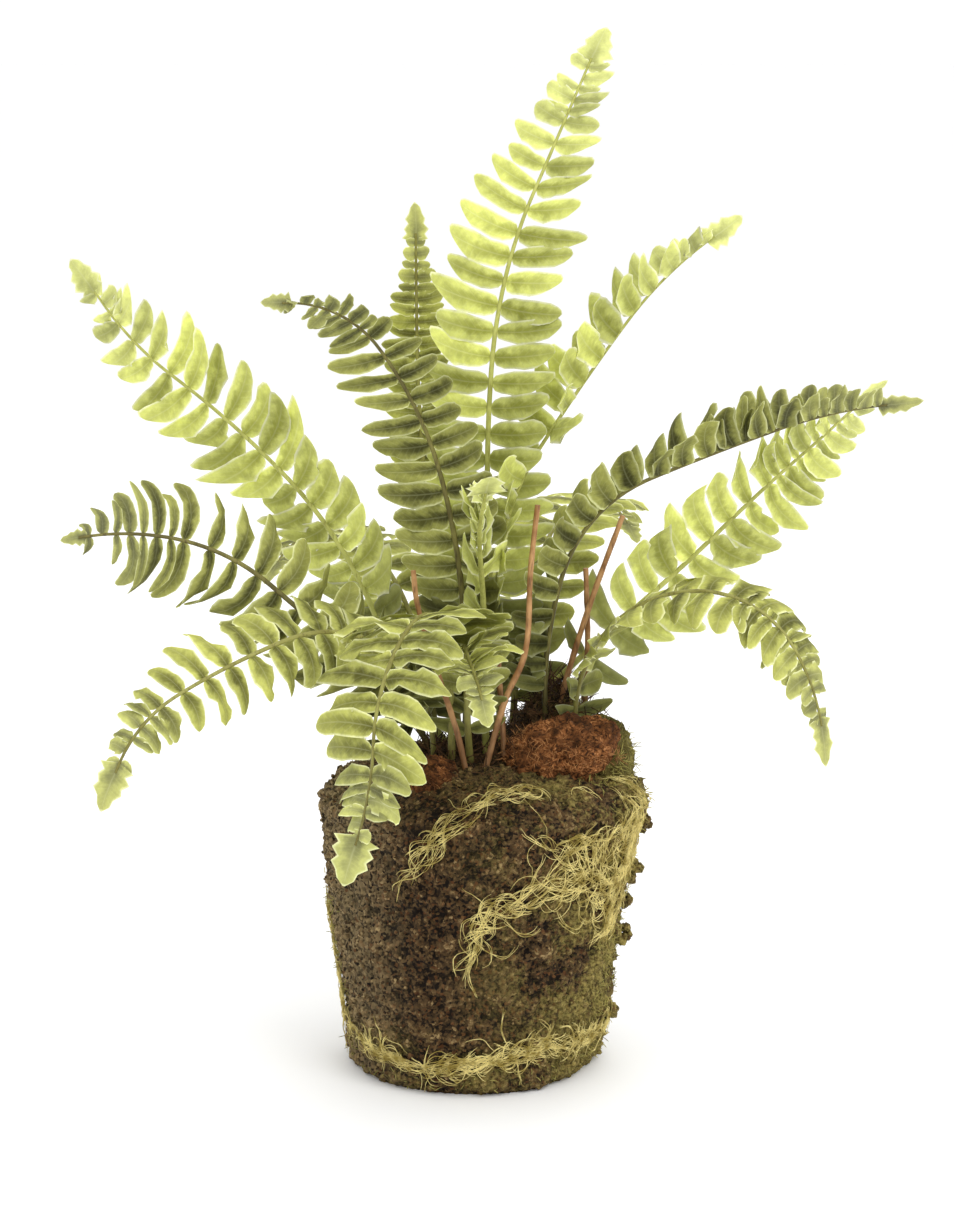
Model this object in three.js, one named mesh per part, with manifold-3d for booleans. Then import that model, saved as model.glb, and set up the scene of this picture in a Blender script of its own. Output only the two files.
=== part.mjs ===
// A sword fern growing from a bare, pot-shaped root ball of soil, coir and moss.
// Millimetres, +Z up. The origin is the middle of the flat underside of the root ball.
// The front of the plant faces -Y and +X is to the right.
import * as THREE from 'three';
import { mergeVertices } from 'three/addons/utils/BufferGeometryUtils.js';
import Module from 'manifold-3d';

const wasm = await Module();
wasm.setup();

// ---------- driving dimensions ----------

const CLEARANCE = 0.35; // gap kept between neighbouring pieces

// Root ball: a tapered block of soil that leans a little to the right.
const BALL_HEIGHT = 126; // underside to rim
const BALL_BASE_RADIUS = 57;
const BALL_RIM_RADIUS = 73;
const BALL_LEAN = 5; // how far the rim's middle sits to the right of the underside's
const BALL_EDGE_WEAR = 5; // how much the lower edge is worn away
const BALL_RIM_WEAR = 5; // and the upper rim
const BALL_ROUGHNESS = 1.1; // depth of the swells in the side
const BALL_SEGMENTS = 36;

// The top of the ball: a low dome and a mound on the right that carries the right-hand fronds.
const DOME_RISE = 17;
const MOUND_RISE = 30;
const MOUND_SPREAD = 13;
const MOUND_SPOT = [39, 20];

// The size of ball that every spot, height and mat below is drawn on. On another size of ball
// they spread and rise with it.
const DRAWN_RADIUS = 73;
const DRAWN_HEIGHT = 126;

// Clods of soil that stand proud of the right side: [angle in degrees, height, radius].
const CLODS = [
  [-2, 108, 5],
  [-8, 88, 6],
  [2, 72, 4.5],
  [-6, 59, 5.5],
  [-2, 22, 4],
  [128, 92, 6],
];

// Stalks and leaflets.
const STALK_BASE_RADIUS = 1.7;
const STALK_TIP_RADIUS = 0.55;
const PLANT_DEPTH = 12; // how far a stalk is sunk in the soil
const LEAFLET_THICKNESS = 0.7;
const LEAFLET_SWEEP = 9; // degrees that a leaflet leans towards the frond's tip
const STALK_FLATNESS = 0.62; // a stalk's thickness against its width
const BARE_STEP = 16; // length of one facet on the bare part of a stalk
const BARE_END = 0.96; // share of the bare part where its last facet starts
const LEAFLET_GRIP = 0.34; // share of a leaflet's width that joins it to the stalk
const NARROWEST = 0.55; // width of the smallest leaflet against a full one
const TIP_LEAFLET_LENGTH = 17;
const TIP_LEAFLET_WIDTH = 12;
const TIP_LEAFLET_OUTLINE = [[0.4, 1], [0.72, 0.7]]; // [share of its length, share of its width]
const RETRY_ANGLES = [0, 10, -10, 20, -20, 32, -32, 45, -45]; // tries that clear a neighbour
const SHORTENINGS = [1, 0.75, 0.5]; // then shorter leaflets

// Twigs: old stalks without leaflets.
const TWIG_RADIUS = 1.8;
const TWIG_SPACING = 5 * TWIG_RADIUS; // between the feet of the two front twigs, which lean apart

// Moss mats on the side of the ball.
const MAT_THICKNESS = 2.6;
const MAT_GAP = 0.7; // between the smooth mats and the swells of the soil

const COLOURS = {
  soil: 0x4e3e29,
  coir: 0x8a4f2a,
  moss: 0x9c8b4d,
  darkMoss: 0x5c5a2c,
  twig: 0x7a4428,
  brightLeaf: 0xb9c46a,
  midLeaf: 0x8f9550,
  darkLeaf: 0x6c6f3c,
};

// Each frond: where its stalk leaves the soil, its compass heading at foot and tip (0 is +X,
// 90 is +Y), its climb above the level at five even stations, its length, its roll about
// itself at foot and tip, the bare share at the foot, and its leaflets: how many pairs, their
// length and width, how fast they reach full length from the tip (taper), how far they lift
// out of the frond's plane and droop again.
const FRONDS = [
  { name: 'frond_tall', tone: 'brightLeaf', spot: [6, 14], heading: [54, 43], roll: [22, 24],
    climb: [83, 94, 84, 57, 59], length: 325, bare: 0.16, pairs: 23,
    leaflet: 31, width: 9.8, taper: 2, lift: 18, droop: 12 },
  { name: 'frond_right_upper', tone: 'brightLeaf', spot: [12, 3], heading: [15, 14], roll: [0, -8],
    climb: [92, 90, 56, 52, 29], length: 266, bare: 0.18, pairs: 16,
    leaflet: 30, width: 11, taper: 2.4, lift: 42, droop: 8 },
  { name: 'frond_back_small', tone: 'midLeaf', spot: [-6, 24], heading: [100, 118], roll: [-10, -15],
    climb: [60, 50, 74, 88, 90], length: 252, bare: 0.48, pairs: 11,
    leaflet: 16, width: 8, taper: 2, lift: 15, droop: 10 },
  { name: 'frond_arching', tone: 'darkLeaf', spot: [-3, -3], heading: [201, 198], roll: [72, 30],
    climb: [92, 86, 74, 53, -16], length: 246, bare: 0.22, pairs: 16,
    leaflet: 27, width: 9.8, taper: 2.2, lift: 8, droop: 22 },
  { name: 'frond_left_upper', tone: 'brightLeaf', spot: [-12, 10], heading: [163, 163], roll: [68, 74],
    climb: [54, 66, 44, 34, 62], length: 274, bare: 0.22, pairs: 18,
    leaflet: 28, width: 11, taper: 2.4, lift: 8, droop: 6 },
  { name: 'frond_left_middle', tone: 'darkLeaf', spot: [-19, 1], heading: [185, 184], roll: [-60, -72],
    climb: [66, 40, 42, 10, -16], length: 203, bare: 0.16, pairs: 13,
    leaflet: 30, width: 10.4, taper: 4, lift: 6, droop: 18 },
  { name: 'frond_left_lower', tone: 'midLeaf', spot: [-17, -10], heading: [216, 211], roll: [-30, -45],
    climb: [90, 38, -14, -24, -80], length: 219, bare: 0.18, pairs: 14,
    leaflet: 25, width: 9.6, taper: 2, lift: 8, droop: 20 },
  { name: 'frond_front_left', tone: 'midLeaf', spot: [-9, -18], heading: [268, 226], roll: [0, 22],
    climb: [92, 58, -22, -86, -54], length: 221, bare: 0.2, pairs: 16,
    leaflet: 34, width: 9.6, taper: 3.6, lift: 6, droop: 14 },
  { name: 'frond_front_centre', tone: 'brightLeaf', spot: [6, -12], heading: [252, 280], roll: [0, 0],
    climb: [82, 92, 46, 26, 46], length: 177, bare: 0.26, pairs: 10,
    leaflet: 18, width: 9.6, taper: 3, lift: 50, droop: 0 },
  { name: 'frond_front_short', tone: 'midLeaf', spot: [-1, -21], heading: [252, 290], roll: [0, 10],
    climb: [72, 90, 4, -14, -66], length: 132, bare: 0.22, pairs: 8,
    leaflet: 22, width: 10, taper: 2.4, lift: 6, droop: 24 },
  { name: 'frond_right_dark', tone: 'darkLeaf', spot: [32, 8], heading: [-4, -1], roll: [0, -6],
    climb: [92, 74, 23, 20, 2], length: 240, bare: 0.1, pairs: 17,
    leaflet: 25, width: 10.2, taper: 2.6, lift: 36, droop: 6 },
  { name: 'frond_right_bright', tone: 'brightLeaf', spot: [38, 21], heading: [16, 17], roll: [-66, -60],
    climb: [42, 38, 42, 38, 42], length: 200, bare: 0.14, pairs: 13,
    leaflet: 34, width: 11, taper: 2.4, lift: 10, droop: 14 },
  { name: 'frond_right_droop', tone: 'midLeaf', spot: [45, 4], heading: [330, 345], roll: [0, 30],
    climb: [92, 48, 2, -58, -88], length: 195, bare: 0.06, pairs: 14,
    leaflet: 26, width: 10.4, taper: 2.2, lift: 8, droop: 20 },
  { name: 'frond_back_left', tone: 'midLeaf', spot: [-16, 22], heading: [118, 128], roll: [0, 0],
    climb: [78, 56, 20, -18, -54], length: 205, bare: 0.14, pairs: 12,
    leaflet: 27, width: 10.8, taper: 2.2, lift: 10, droop: 18 },
  { name: 'frond_back_right', tone: 'midLeaf', spot: [18, 30], heading: [72, 62], roll: [0, 0],
    climb: [80, 58, 24, -14, -50], length: 210, bare: 0.14, pairs: 12,
    leaflet: 27, width: 10.8, taper: 2.2, lift: 10, droop: 18 },
];

// Each twig: the spot where it leaves the soil, how far aside of it, then the points it passes
// through, measured from there.
const TWIGS = [
  { name: 'twig_left', spot: [6, -32], aside: -TWIG_SPACING,
    route: [[-4, -2, 18], [-12, -6, 44], [-20, -8, 72], [-22, -8, 88]] },
  { name: 'twig_centre', spot: [6, -29], aside: 0,
    route: [[8, 2, 28], [17, 5, 50], [19, 8, 84], [22, 10, 112]] },
  { name: 'twig_centre_short', spot: [14, -21], aside: 0,
    route: [[-2, 1, 30], [-4, 2, 62]] },
  { name: 'twig_right', spot: [40, 13], aside: 0,
    route: [[7, 0, 24], [15, 1, 48], [26, 2, 78]] },
  { name: 'twig_right_short', spot: [50, 19], aside: 0,
    route: [[1, 0, 30], [0, 0, 62]] },
];

// Lumps on top of the ball: middle, as a spot and a height above the rim, half sizes and how
// uneven they are.
const LUMPS = [
  { name: 'coir_clump_right', at: [38, -17, 17], half: [27, 18, 18], uneven: 0.1, colour: 'coir' },
  { name: 'coir_clump_left', at: [-19, -34, 7], half: [15, 14, 14], uneven: 0.12, colour: 'coir' },
  { name: 'moss_shoulder', at: [58, 5, 10], half: [14, 28, 20], uneven: 0.08, colour: 'darkMoss' },
];

// Mats of moss: each strand's stations of [angle in degrees, height, width]. A height above the
// rim's counts on inward over the top.
const MATS = [
  { name: 'moss_crown_strand', strands: [
    [[-72, 138, 4], [-84, 140, 9], [-97, 128, 8], [-108, 112, 7], [-117, 98, 4]],
  ] },
  { name: 'moss_net_right', strands: [
    [[-93, 66, 3], [-88, 82, 6], [-72, 92, 9], [-54, 96, 8], [-38, 84, 5]],
    [[-66, 112, 4], [-46, 108, 12], [-28, 108, 16], [-15, 116, 6]],
    [[-52, 100, 8], [-38, 94, 12], [-26, 98, 12], [-18, 108, 6]],
  ] },
  { name: 'moss_band_low', strands: [
    [[-158, 20, 3], [-132, 16, 4], [-110, 11, 6], [-84, 18, 12], [-58, 22, 12], [-34, 19, 8], [-14, 20, 4]],
  ] },
  { name: 'moss_strip_left', strands: [
    [[176, 72, 4], [178, 56, 9], [180, 40, 11], [184, 28, 5]],
  ] },
];

// ---------- small helpers ----------

const radians = THREE.MathUtils.degToRad;
const mix = THREE.MathUtils.lerp;

// A spot or a height as it falls on this size of ball.
const onBall = ([x, y]) => [x, y].map((place) => (place * BALL_RIM_RADIUS) / DRAWN_RADIUS);
const upBall = (height) => (height * BALL_HEIGHT) / DRAWN_HEIGHT;

// A smooth, repeatable wobble between -1 and 1 that makes copies differ a little.
const wobble = (seed) => Math.sin(seed * 2.399) * 0.6 + Math.sin(seed * 5.13 + 1) * 0.4;

// One direction turned towards another, at right angles to it, by an angle in radians.
const turned = (from, towards, angle) => (
  from.clone().multiplyScalar(Math.cos(angle)).addScaledVector(towards, Math.sin(angle))
);

// Reads a value off evenly spaced stations, t from 0 to 1.
function alongStations(values, t) {
  const place = THREE.MathUtils.clamp(t, 0, 1) * (values.length - 1);
  const index = Math.min(Math.floor(place), values.length - 2);
  return mix(values[index], values[index + 1], place - index);
}

// Collects the corners and faces of one closed shape.
class Shell {
  constructor() {
    this.corners = [];
    this.faces = [];
  }

  corner(point) {
    this.corners.push(point.clone());
    return this.corners.length - 1;
  }

  ring(points) {
    return points.map((point) => this.corner(point));
  }

  quad(a, b, c, d) {
    this.faces.push(a, b, c, a, c, d);
  }

  // Walls between two rings with the same number of corners, leaving out the sides in `open`.
  walls(low, high, open = []) {
    low.forEach((corner, side) => {
      const next = (side + 1) % low.length;
      if (!open.includes(side)) this.quad(corner, low[next], high[next], high[side]);
    });
  }

  // Closes a ring with one point; `outward` says whether the point lies beyond the ring.
  close(ring, point, outward = true) {
    const apex = this.corner(point);
    ring.forEach((corner, side) => {
      const next = ring[(side + 1) % ring.length];
      if (outward) this.faces.push(corner, next, apex);
      else this.faces.push(next, corner, apex);
    });
  }

  solid() {
    const vertProperties = new Float32Array(this.corners.flatMap((point) => point.toArray()));
    const triVerts = new Uint32Array(this.faces);
    return new wasm.Manifold(new wasm.Mesh({ numProp: 3, vertProperties, triVerts }));
  }

  box() {
    return new THREE.Box3().setFromPoints(this.corners);
  }
}

// A closed three.js geometry as a manifold solid.
function solidOf(geometry) {
  geometry.deleteAttribute('normal');
  geometry.deleteAttribute('uv');
  const merged = mergeVertices(geometry, 1e-4);
  return new wasm.Manifold(new wasm.Mesh({
    numProp: 3,
    vertProperties: new Float32Array(merged.attributes.position.array),
    triVerts: new Uint32Array(merged.index.array),
  }));
}

// A manifold solid as a three.js mesh.
function meshOf(name, solid, colour) {
  const { numProp, vertProperties, triVerts } = solid.getMesh();
  const corners = Array.from({ length: vertProperties.length / numProp }, (_, index) => [
    vertProperties[index * numProp],
    vertProperties[index * numProp + 1],
    vertProperties[index * numProp + 2],
  ]);
  const geometry = new THREE.BufferGeometry();
  geometry.setAttribute('position', new THREE.Float32BufferAttribute(corners.flat(), 3));
  geometry.setIndex(Array.from(triVerts));
  geometry.computeVertexNormals();
  const material = new THREE.MeshStandardMaterial({ color: COLOURS[colour], roughness: 0.8, metalness: 0 });
  const mesh = new THREE.Mesh(geometry, material);
  mesh.name = name;
  return mesh;
}

// True if two solids share any volume.
const overlaps = (one, other) => one.intersect(other).getMesh().triVerts.length > 0;

// ---------- root ball ----------

const ballMiddle = (height) => mix(0, BALL_LEAN, height / BALL_HEIGHT);

// Distance from the leaning axis to the soil's side at an angle (radians) and a height.
function sideRadius(angle, height) {
  const rise = height / BALL_HEIGHT;
  const taper = mix(BALL_BASE_RADIUS, BALL_RIM_RADIUS, Math.pow(rise, 1.25));
  const swell = Math.sin(3 * angle + 7 * rise) + 0.6 * Math.sin(5 * angle - 4 * rise + 1);
  return taper + BALL_ROUGHNESS * swell;
}

// Height of the soil's top at a point.
function topHeight(x, y) {
  const fromAxis = Math.hypot(x - BALL_LEAN, y) / BALL_RIM_RADIUS;
  const [moundX, moundY] = onBall(MOUND_SPOT);
  const fromMound = Math.hypot(x - moundX, y - moundY) / MOUND_SPREAD;
  const dome = DOME_RISE * (1 - fromAxis ** 2);
  const mound = MOUND_RISE * Math.exp(-(fromMound ** 2) / 2);
  const room = THREE.MathUtils.smoothstep(1 - fromAxis, 0, 0.2);
  return BALL_HEIGHT + Math.max(dome, 0) + mound * room;
}

function sidePoint(angle, height, outward = 0) {
  const radius = sideRadius(angle, height) + outward;
  const x = ballMiddle(height) + radius * Math.cos(angle);
  return new THREE.Vector3(x, radius * Math.sin(angle), height);
}

// A point on the soil, where a height above the rim's counts on inward over the top.
function soilPoint(angle, height, outward = 0) {
  const past = height - (BALL_HEIGHT - BALL_RIM_WEAR);
  if (past <= 0) return sidePoint(angle, height, outward);
  const rim = sidePoint(angle, BALL_HEIGHT, -past);
  const edge = Math.max(1 - past / (2 * BALL_RIM_WEAR), 0);
  const worn = BALL_RIM_WEAR * edge ** 2;
  const level = topHeight(rim.x, rim.y) - worn + outward * Math.min(past / BALL_RIM_WEAR, 1);
  const spread = outward * edge;
  return new THREE.Vector3(rim.x + spread * Math.cos(angle), rim.y + spread * Math.sin(angle), level);
}

// The rings of corners on the side, as shares of its height, and over the top, as shares of the
// way in to the middle.
const SIDE_RINGS = [0.18, 0.34, 0.5, 0.66, 0.82, 1];
const TOP_RINGS = [0.06, 0.16, 0.36, 0.52, 0.68, 0.84];

// The ball's soil, grown by `extra` on its side and top, as a solid.
function soilSolid(extra = 0) {
  const shell = new Shell();
  const angles = Array.from({ length: BALL_SEGMENTS }, (_, k) => (k / BALL_SEGMENTS) * 2 * Math.PI);
  const rings = [];
  rings.push(angles.map((angle) => sidePoint(angle, 0, extra - BALL_EDGE_WEAR)));
  rings.push(angles.map((angle) => sidePoint(angle, BALL_EDGE_WEAR * 0.8, extra)));
  const rimStart = BALL_HEIGHT - BALL_RIM_WEAR;
  SIDE_RINGS.forEach((share) => {
    rings.push(angles.map((angle) => soilPoint(angle, rimStart * share, extra)));
  });
  TOP_RINGS.forEach((share) => {
    rings.push(angles.map((angle) => soilPoint(angle, rimStart + BALL_RIM_RADIUS * share, extra)));
  });
  const indexed = rings.map((ring) => shell.ring(ring));
  indexed.slice(1).forEach((ring, k) => shell.walls(indexed[k], ring));
  shell.close(indexed[0], new THREE.Vector3(0, 0, 0), false);
  shell.close(indexed.at(-1), new THREE.Vector3(BALL_LEAN, 0, topHeight(BALL_LEAN, 0) + extra));
  return shell.solid();
}

function clodSolid([angle, height, radius]) {
  const clod = new THREE.IcosahedronGeometry(radius, 1);
  clod.scale(0.8, 1, 0.9);
  clod.rotateZ(radians(angle));
  const middle = sidePoint(radians(angle), upBall(height), radius * 0.15);
  clod.translate(middle.x, middle.y, middle.z);
  return solidOf(clod);
}

// ---------- fronds ----------

// The stalk's line: its point, direction, side and upper normal at any share of its length.
function spineOf(frond) {
  const steps = 160;
  const [x, y] = onBall(frond.spot);
  const directionAt = (t) => {
    const heading = radians(mix(...frond.heading, t));
    const climb = radians(alongStations(frond.climb, t));
    return new THREE.Vector3(
      Math.cos(climb) * Math.cos(heading),
      Math.cos(climb) * Math.sin(heading),
      Math.sin(climb),
    );
  };
  const points = [new THREE.Vector3(x, y, topHeight(x, y))];
  for (let step = 0; step < steps; step += 1) {
    const stride = directionAt((step + 0.5) / steps).multiplyScalar(frond.length / steps);
    points.push(points.at(-1).clone().add(stride));
  }
  return (t) => {
    const place = THREE.MathUtils.clamp(t, 0, 1) * steps;
    const index = Math.min(Math.floor(place), steps - 1);
    const point = points[index].clone().lerp(points[index + 1], place - index);
    const along = directionAt(t);
    const heading = radians(mix(...frond.heading, t));
    const level = new THREE.Vector3(Math.sin(heading), -Math.cos(heading), 0);
    const side = level.applyAxisAngle(along, radians(mix(...frond.roll, t)));
    return { point, along, side, normal: side.clone().cross(along) };
  };
}

// Four corners around the stalk, seen from its tip: its right and left sides carry leaflets.
function stalkRing({ point, side, normal }, halfWidth, halfHeight) {
  const corner = (across, up) => (
    point.clone().addScaledVector(side, across).addScaledVector(normal, up)
  );
  return [
    corner(halfWidth, halfHeight),
    corner(halfWidth, -halfHeight),
    corner(-halfWidth, -halfHeight),
    corner(-halfWidth, halfHeight),
  ];
}

const stalkRadius = (t) => mix(STALK_BASE_RADIUS, STALK_TIP_RADIUS, t);
const RIGHT_SIDE = 0;
const LEFT_SIDE = 2;

// Leaflet size against its place q on the leafy part, 0 at the foot and 1 at the tip.
const leafletSize = (frond, q) => (
  Math.min(1, 0.74 + 1.3 * q) * Math.min(1, 0.32 + frond.taper * (1 - q))
);
const widthShare = (size) => mix(NARROWEST, 1, size);

// The stations where a pair of leaflets grows.
function pairStations(frond) {
  const last = 1 - TIP_LEAFLET_LENGTH / frond.length;
  return Array.from({ length: frond.pairs }, (_, pair) => {
    const q = (pair + 0.5) / frond.pairs;
    return { t: mix(frond.bare, last, q), q };
  });
}

// The leaflet's outline as [share of its length, share of its width]. A loose leaflet also has a
// foot, this far out from the stalk.
const LEAFLET_OUTLINE = [[0.34, 1], [0.76, 0.84], [1, 0]];
const LOOSE_FOOT = 0.7;

// The outline's sections, each four corners, and the tip. `hand` is 1 on the right.
function leafletSections(frond, frame, q, hand, turn, shorten, seed, loose = false, spare = 0) {
  const size = leafletSize(frond, q);
  const length = frond.leaflet * size * shorten * (1 + 0.06 * wobble(seed));
  const width = frond.width * widthShare(size);
  const sweep = radians(LEAFLET_SWEEP + 5 * wobble(seed + 3));
  const outward = frame.side.clone().multiplyScalar(hand);
  const half = LEAFLET_THICKNESS / 2 + spare;
  const centre = frame.point.clone().addScaledVector(outward, stalkRadius(frame.t));
  const sections = [];
  let reached = 0;
  const outline = loose ? [[LOOSE_FOOT / length, 0.4], ...LEAFLET_OUTLINE] : LEAFLET_OUTLINE;
  outline.forEach(([share, fullness]) => {
    const droop = frond.droop * (share + reached);
    const bend = radians(frond.lift + turn + 5 * wobble(seed + 7) - droop);
    const reach = turned(outward, frame.normal, bend);
    const direction = turned(reach, frame.along, sweep);
    const across = turned(frame.along, reach, -sweep);
    const upper = turned(frame.normal, outward, -bend);
    centre.addScaledVector(direction, length * (share - reached));
    reached = share;
    if (fullness === 0) {
      sections.push([centre.clone().addScaledVector(direction, spare)]);
      return;
    }
    const reachAcross = (width * fullness) / 2 + spare;
    const corner = (side, face) => (
      centre.clone().addScaledVector(across, side * reachAcross).addScaledVector(upper, face * half)
    );
    sections.push([corner(-1, hand), corner(-1, -hand), corner(1, -hand), corner(1, hand)]);
  });
  return sections;
}

// A leaflet as a solid of its own, used to find room for it. It starts clear of its stalk.
function looseLeaflet(sections) {
  const shell = new Shell();
  const rings = sections.slice(0, -1).map((section) => shell.ring(section));
  rings.slice(1).forEach((ring, k) => shell.walls(rings[k], ring));
  shell.close(rings.at(-1), sections.at(-1)[0]);
  const foot = sections[0].reduce((sum, point) => sum.add(point), new THREE.Vector3()).divideScalar(4);
  shell.close(rings[0], foot, false);
  return { solid: shell.solid(), box: shell.box() };
}

// The whole frond as one closed shape. `leaflets` maps "pair,hand" to a leaflet's sections.
function frondShell(frond, leaflets = new Map()) {
  const spine = spineOf(frond);
  const shell = new Shell();
  const foot = spine(0);
  const sunk = foot.point.clone().addScaledVector(foot.along, -PLANT_DEPTH);
  const baseHeight = STALK_BASE_RADIUS * STALK_FLATNESS;
  let last = shell.ring(stalkRing({ ...foot, point: sunk }, STALK_BASE_RADIUS, baseHeight));
  shell.close(last, sunk, false);

  const advance = (t, open) => {
    const radius = stalkRadius(t);
    const ring = shell.ring(stalkRing(spine(t), radius, radius * STALK_FLATNESS));
    shell.walls(last, ring, open);
    const previous = last;
    last = ring;
    return [previous, ring];
  };

  const bareSteps = Math.max(2, Math.round((frond.bare * frond.length) / BARE_STEP));
  for (let step = 0; step < bareSteps; step += 1) {
    advance((frond.bare * BARE_END * step) / bareSteps, []);
  }
  const grip = (LEAFLET_GRIP * frond.width) / frond.length;
  pairStations(frond).forEach(({ t, q }, pair) => {
    const halfGrip = (grip * widthShare(leafletSize(frond, q))) / 2;
    advance(t - halfGrip, []);
    const right = leaflets.get(`${pair},1`);
    const left = leaflets.get(`${pair},-1`);
    const open = [];
    if (right) open.push(RIGHT_SIDE);
    if (left) open.push(LEFT_SIDE);
    const [near, far] = advance(t + halfGrip, open);
    [[right, RIGHT_SIDE], [left, LEFT_SIDE]].forEach(([sections, side]) => {
      if (!sections) return;
      let loop = [near[side], near[side + 1], far[side + 1], far[side]];
      sections.slice(0, -1).forEach((section) => {
        const ring = shell.ring(section);
        shell.walls(loop, ring);
        loop = ring;
      });
      shell.close(loop, sections.at(-1)[0]);
    });
  });

  const tip = spine(1);
  const start = 1 - TIP_LEAFLET_LENGTH / frond.length;
  TIP_LEAFLET_OUTLINE.forEach(([share, fullness]) => {
    const halfWidth = (TIP_LEAFLET_WIDTH * fullness) / 2;
    const ring = shell.ring(stalkRing(spine(mix(start, 1, share)), halfWidth, LEAFLET_THICKNESS / 2));
    shell.walls(last, ring);
    last = ring;
  });
  shell.close(last, tip.point);
  return shell;
}

// ---------- putting it together ----------

// A straight-sided hole for a stalk or twig of a given radius, along its foot's direction. It
// reaches far enough above the foot to clear sloping soil.
function socketSolid(point, along, radius) {
  const above = 20;
  const sides = 8;
  const depth = PLANT_DEPTH + CLEARANCE;
  const wall = (radius + CLEARANCE) / Math.cos(Math.PI / sides);
  const socket = new THREE.CylinderGeometry(wall, wall, depth + above, sides);
  socket.translate(0, (above - depth) / 2, 0);
  socket.applyQuaternion(new THREE.Quaternion().setFromUnitVectors(new THREE.Vector3(0, 1, 0), along));
  socket.translate(point.x, point.y, point.z);
  return solidOf(socket);
}

function twigSolid(twig) {
  const [spotX, y] = onBall(twig.spot);
  const x = spotX + twig.aside;
  const foot = new THREE.Vector3(x, y, topHeight(x, y));
  const points = twig.route.map((step) => foot.clone().add(new THREE.Vector3(...step)));
  const along = points[0].clone().sub(foot).normalize();
  const sunk = foot.clone().addScaledVector(along, -PLANT_DEPTH);
  const path = new THREE.CatmullRomCurve3([sunk, foot, ...points], false, 'centripetal');
  const round = new THREE.Shape().absarc(0, 0, TWIG_RADIUS, 0, 2 * Math.PI);
  const tube = new THREE.ExtrudeGeometry(round, { steps: 8, curveSegments: 3, extrudePath: path });
  return { solid: solidOf(tube), foot, along };
}

// An uneven rounded lump.
function lumpSolid({ at, half, uneven }, extra = 0) {
  const lump = new THREE.IcosahedronGeometry(1, 2);
  const place = lump.attributes.position;
  const point = new THREE.Vector3();
  const [x, y] = onBall(at);
  const z = BALL_HEIGHT + at[2];
  for (let k = 0; k < place.count; k += 1) {
    point.fromBufferAttribute(place, k).normalize();
    const swell = Math.sin(4 * point.x + 3 * point.z) * Math.cos(5 * point.y - 2 * point.x);
    const bump = 1 + uneven * swell;
    place.setXYZ(
      k,
      x + point.x * (half[0] * bump + extra),
      y + point.y * (half[1] * bump + extra),
      z + point.z * (half[2] * bump + extra),
    );
  }
  return solidOf(lump);
}

// One strand of a moss mat: a low ridge that follows the ball's side along its stations.
function strandSolid(stations) {
  const shell = new Shell();
  const steps = (stations.length - 1) * 3;
  const read = (k, t) => alongStations(stations.map((station) => station[k]), t);
  const ringAt = (t, fullness) => {
    const angle = radians(read(0, t));
    const height = upBall(read(1, t));
    const ahead = soilPoint(radians(read(0, t + 0.02)), upBall(read(1, t + 0.02)));
    const behind = soilPoint(radians(read(0, t - 0.02)), upBall(read(1, t - 0.02)));
    const along = ahead.sub(behind).normalize();
    // Across the strand on the unrolled surface: round the ball and up it.
    const round = along.clone().dot(new THREE.Vector3(-Math.sin(angle), Math.cos(angle), 0));
    const rise = Math.sign(along.z || 1) * Math.sqrt(Math.max(1 - round ** 2, 0));
    const half = (read(2, t) / 2) * fullness;
    const at = (share, outward) => {
      const around = angle + (rise * half * share) / BALL_RIM_RADIUS;
      return soilPoint(around, height - round * half * share, outward);
    };
    const outer = MAT_GAP + MAT_THICKNESS * fullness;
    return [at(-1, MAT_GAP), at(-0.6, outer), at(0.6, outer), at(1, MAT_GAP), at(0, MAT_GAP)];
  };
  const rings = Array.from({ length: steps + 1 }, (_, k) => {
    const t = k / steps;
    return shell.ring(ringAt(t, k === 0 || k === steps ? 0.5 : 1));
  });
  rings.slice(1).forEach((ring, k) => shell.walls(rings[k], ring));
  const end = (t) => soilPoint(radians(read(0, t)), upBall(read(1, t)), MAT_GAP + MAT_THICKNESS / 4);
  shell.close(rings[0], end(0), false);
  shell.close(rings.at(-1), end(1));
  return shell.solid();
}

const plant = new THREE.Group();
plant.name = 'potted_fern';

const twigs = TWIGS.map((twig) => ({ name: twig.name, ...twigSolid(twig) }));
const stalks = FRONDS.map((frond) => {
  const shell = frondShell(frond);
  return { frond, solid: shell.solid(), box: shell.box(), foot: spineOf(frond)(0) };
});
const stalkCorner = STALK_BASE_RADIUS * Math.hypot(1, STALK_FLATNESS);
const sockets = [
  ...stalks.map(({ foot }) => socketSolid(foot.point, foot.along, stalkCorner)),
  ...twigs.map(({ foot, along }) => socketSolid(foot, along, TWIG_RADIUS)),
].reduce((joined, socket) => joined.add(socket));

const soil = CLODS.reduce((ball, clod) => ball.add(clodSolid(clod)), soilSolid());
plant.add(meshOf('root_ball', soil.subtract(sockets), 'soil'));

// Each lump is cut back from the soil and from the lumps before it.
const solidsOnTop = [];
let taken = CLODS.reduce((ball, clod) => ball.add(clodSolid(clod)), soilSolid(CLEARANCE)).add(sockets);
LUMPS.forEach((lump) => {
  const solid = lumpSolid(lump).subtract(taken);
  solidsOnTop.push(solid);
  taken = taken.add(lumpSolid(lump, CLEARANCE));
  plant.add(meshOf(lump.name, solid, lump.colour));
});

MATS.forEach((mat) => {
  const joined = mat.strands.map(strandSolid).reduce((one, other) => one.add(other));
  const solid = joined.subtract(taken);
  solidsOnTop.push(solid);
  plant.add(meshOf(mat.name, solid, 'moss'));
});

twigs.forEach((twig) => plant.add(meshOf(twig.name, twig.solid, 'twig')));

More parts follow.
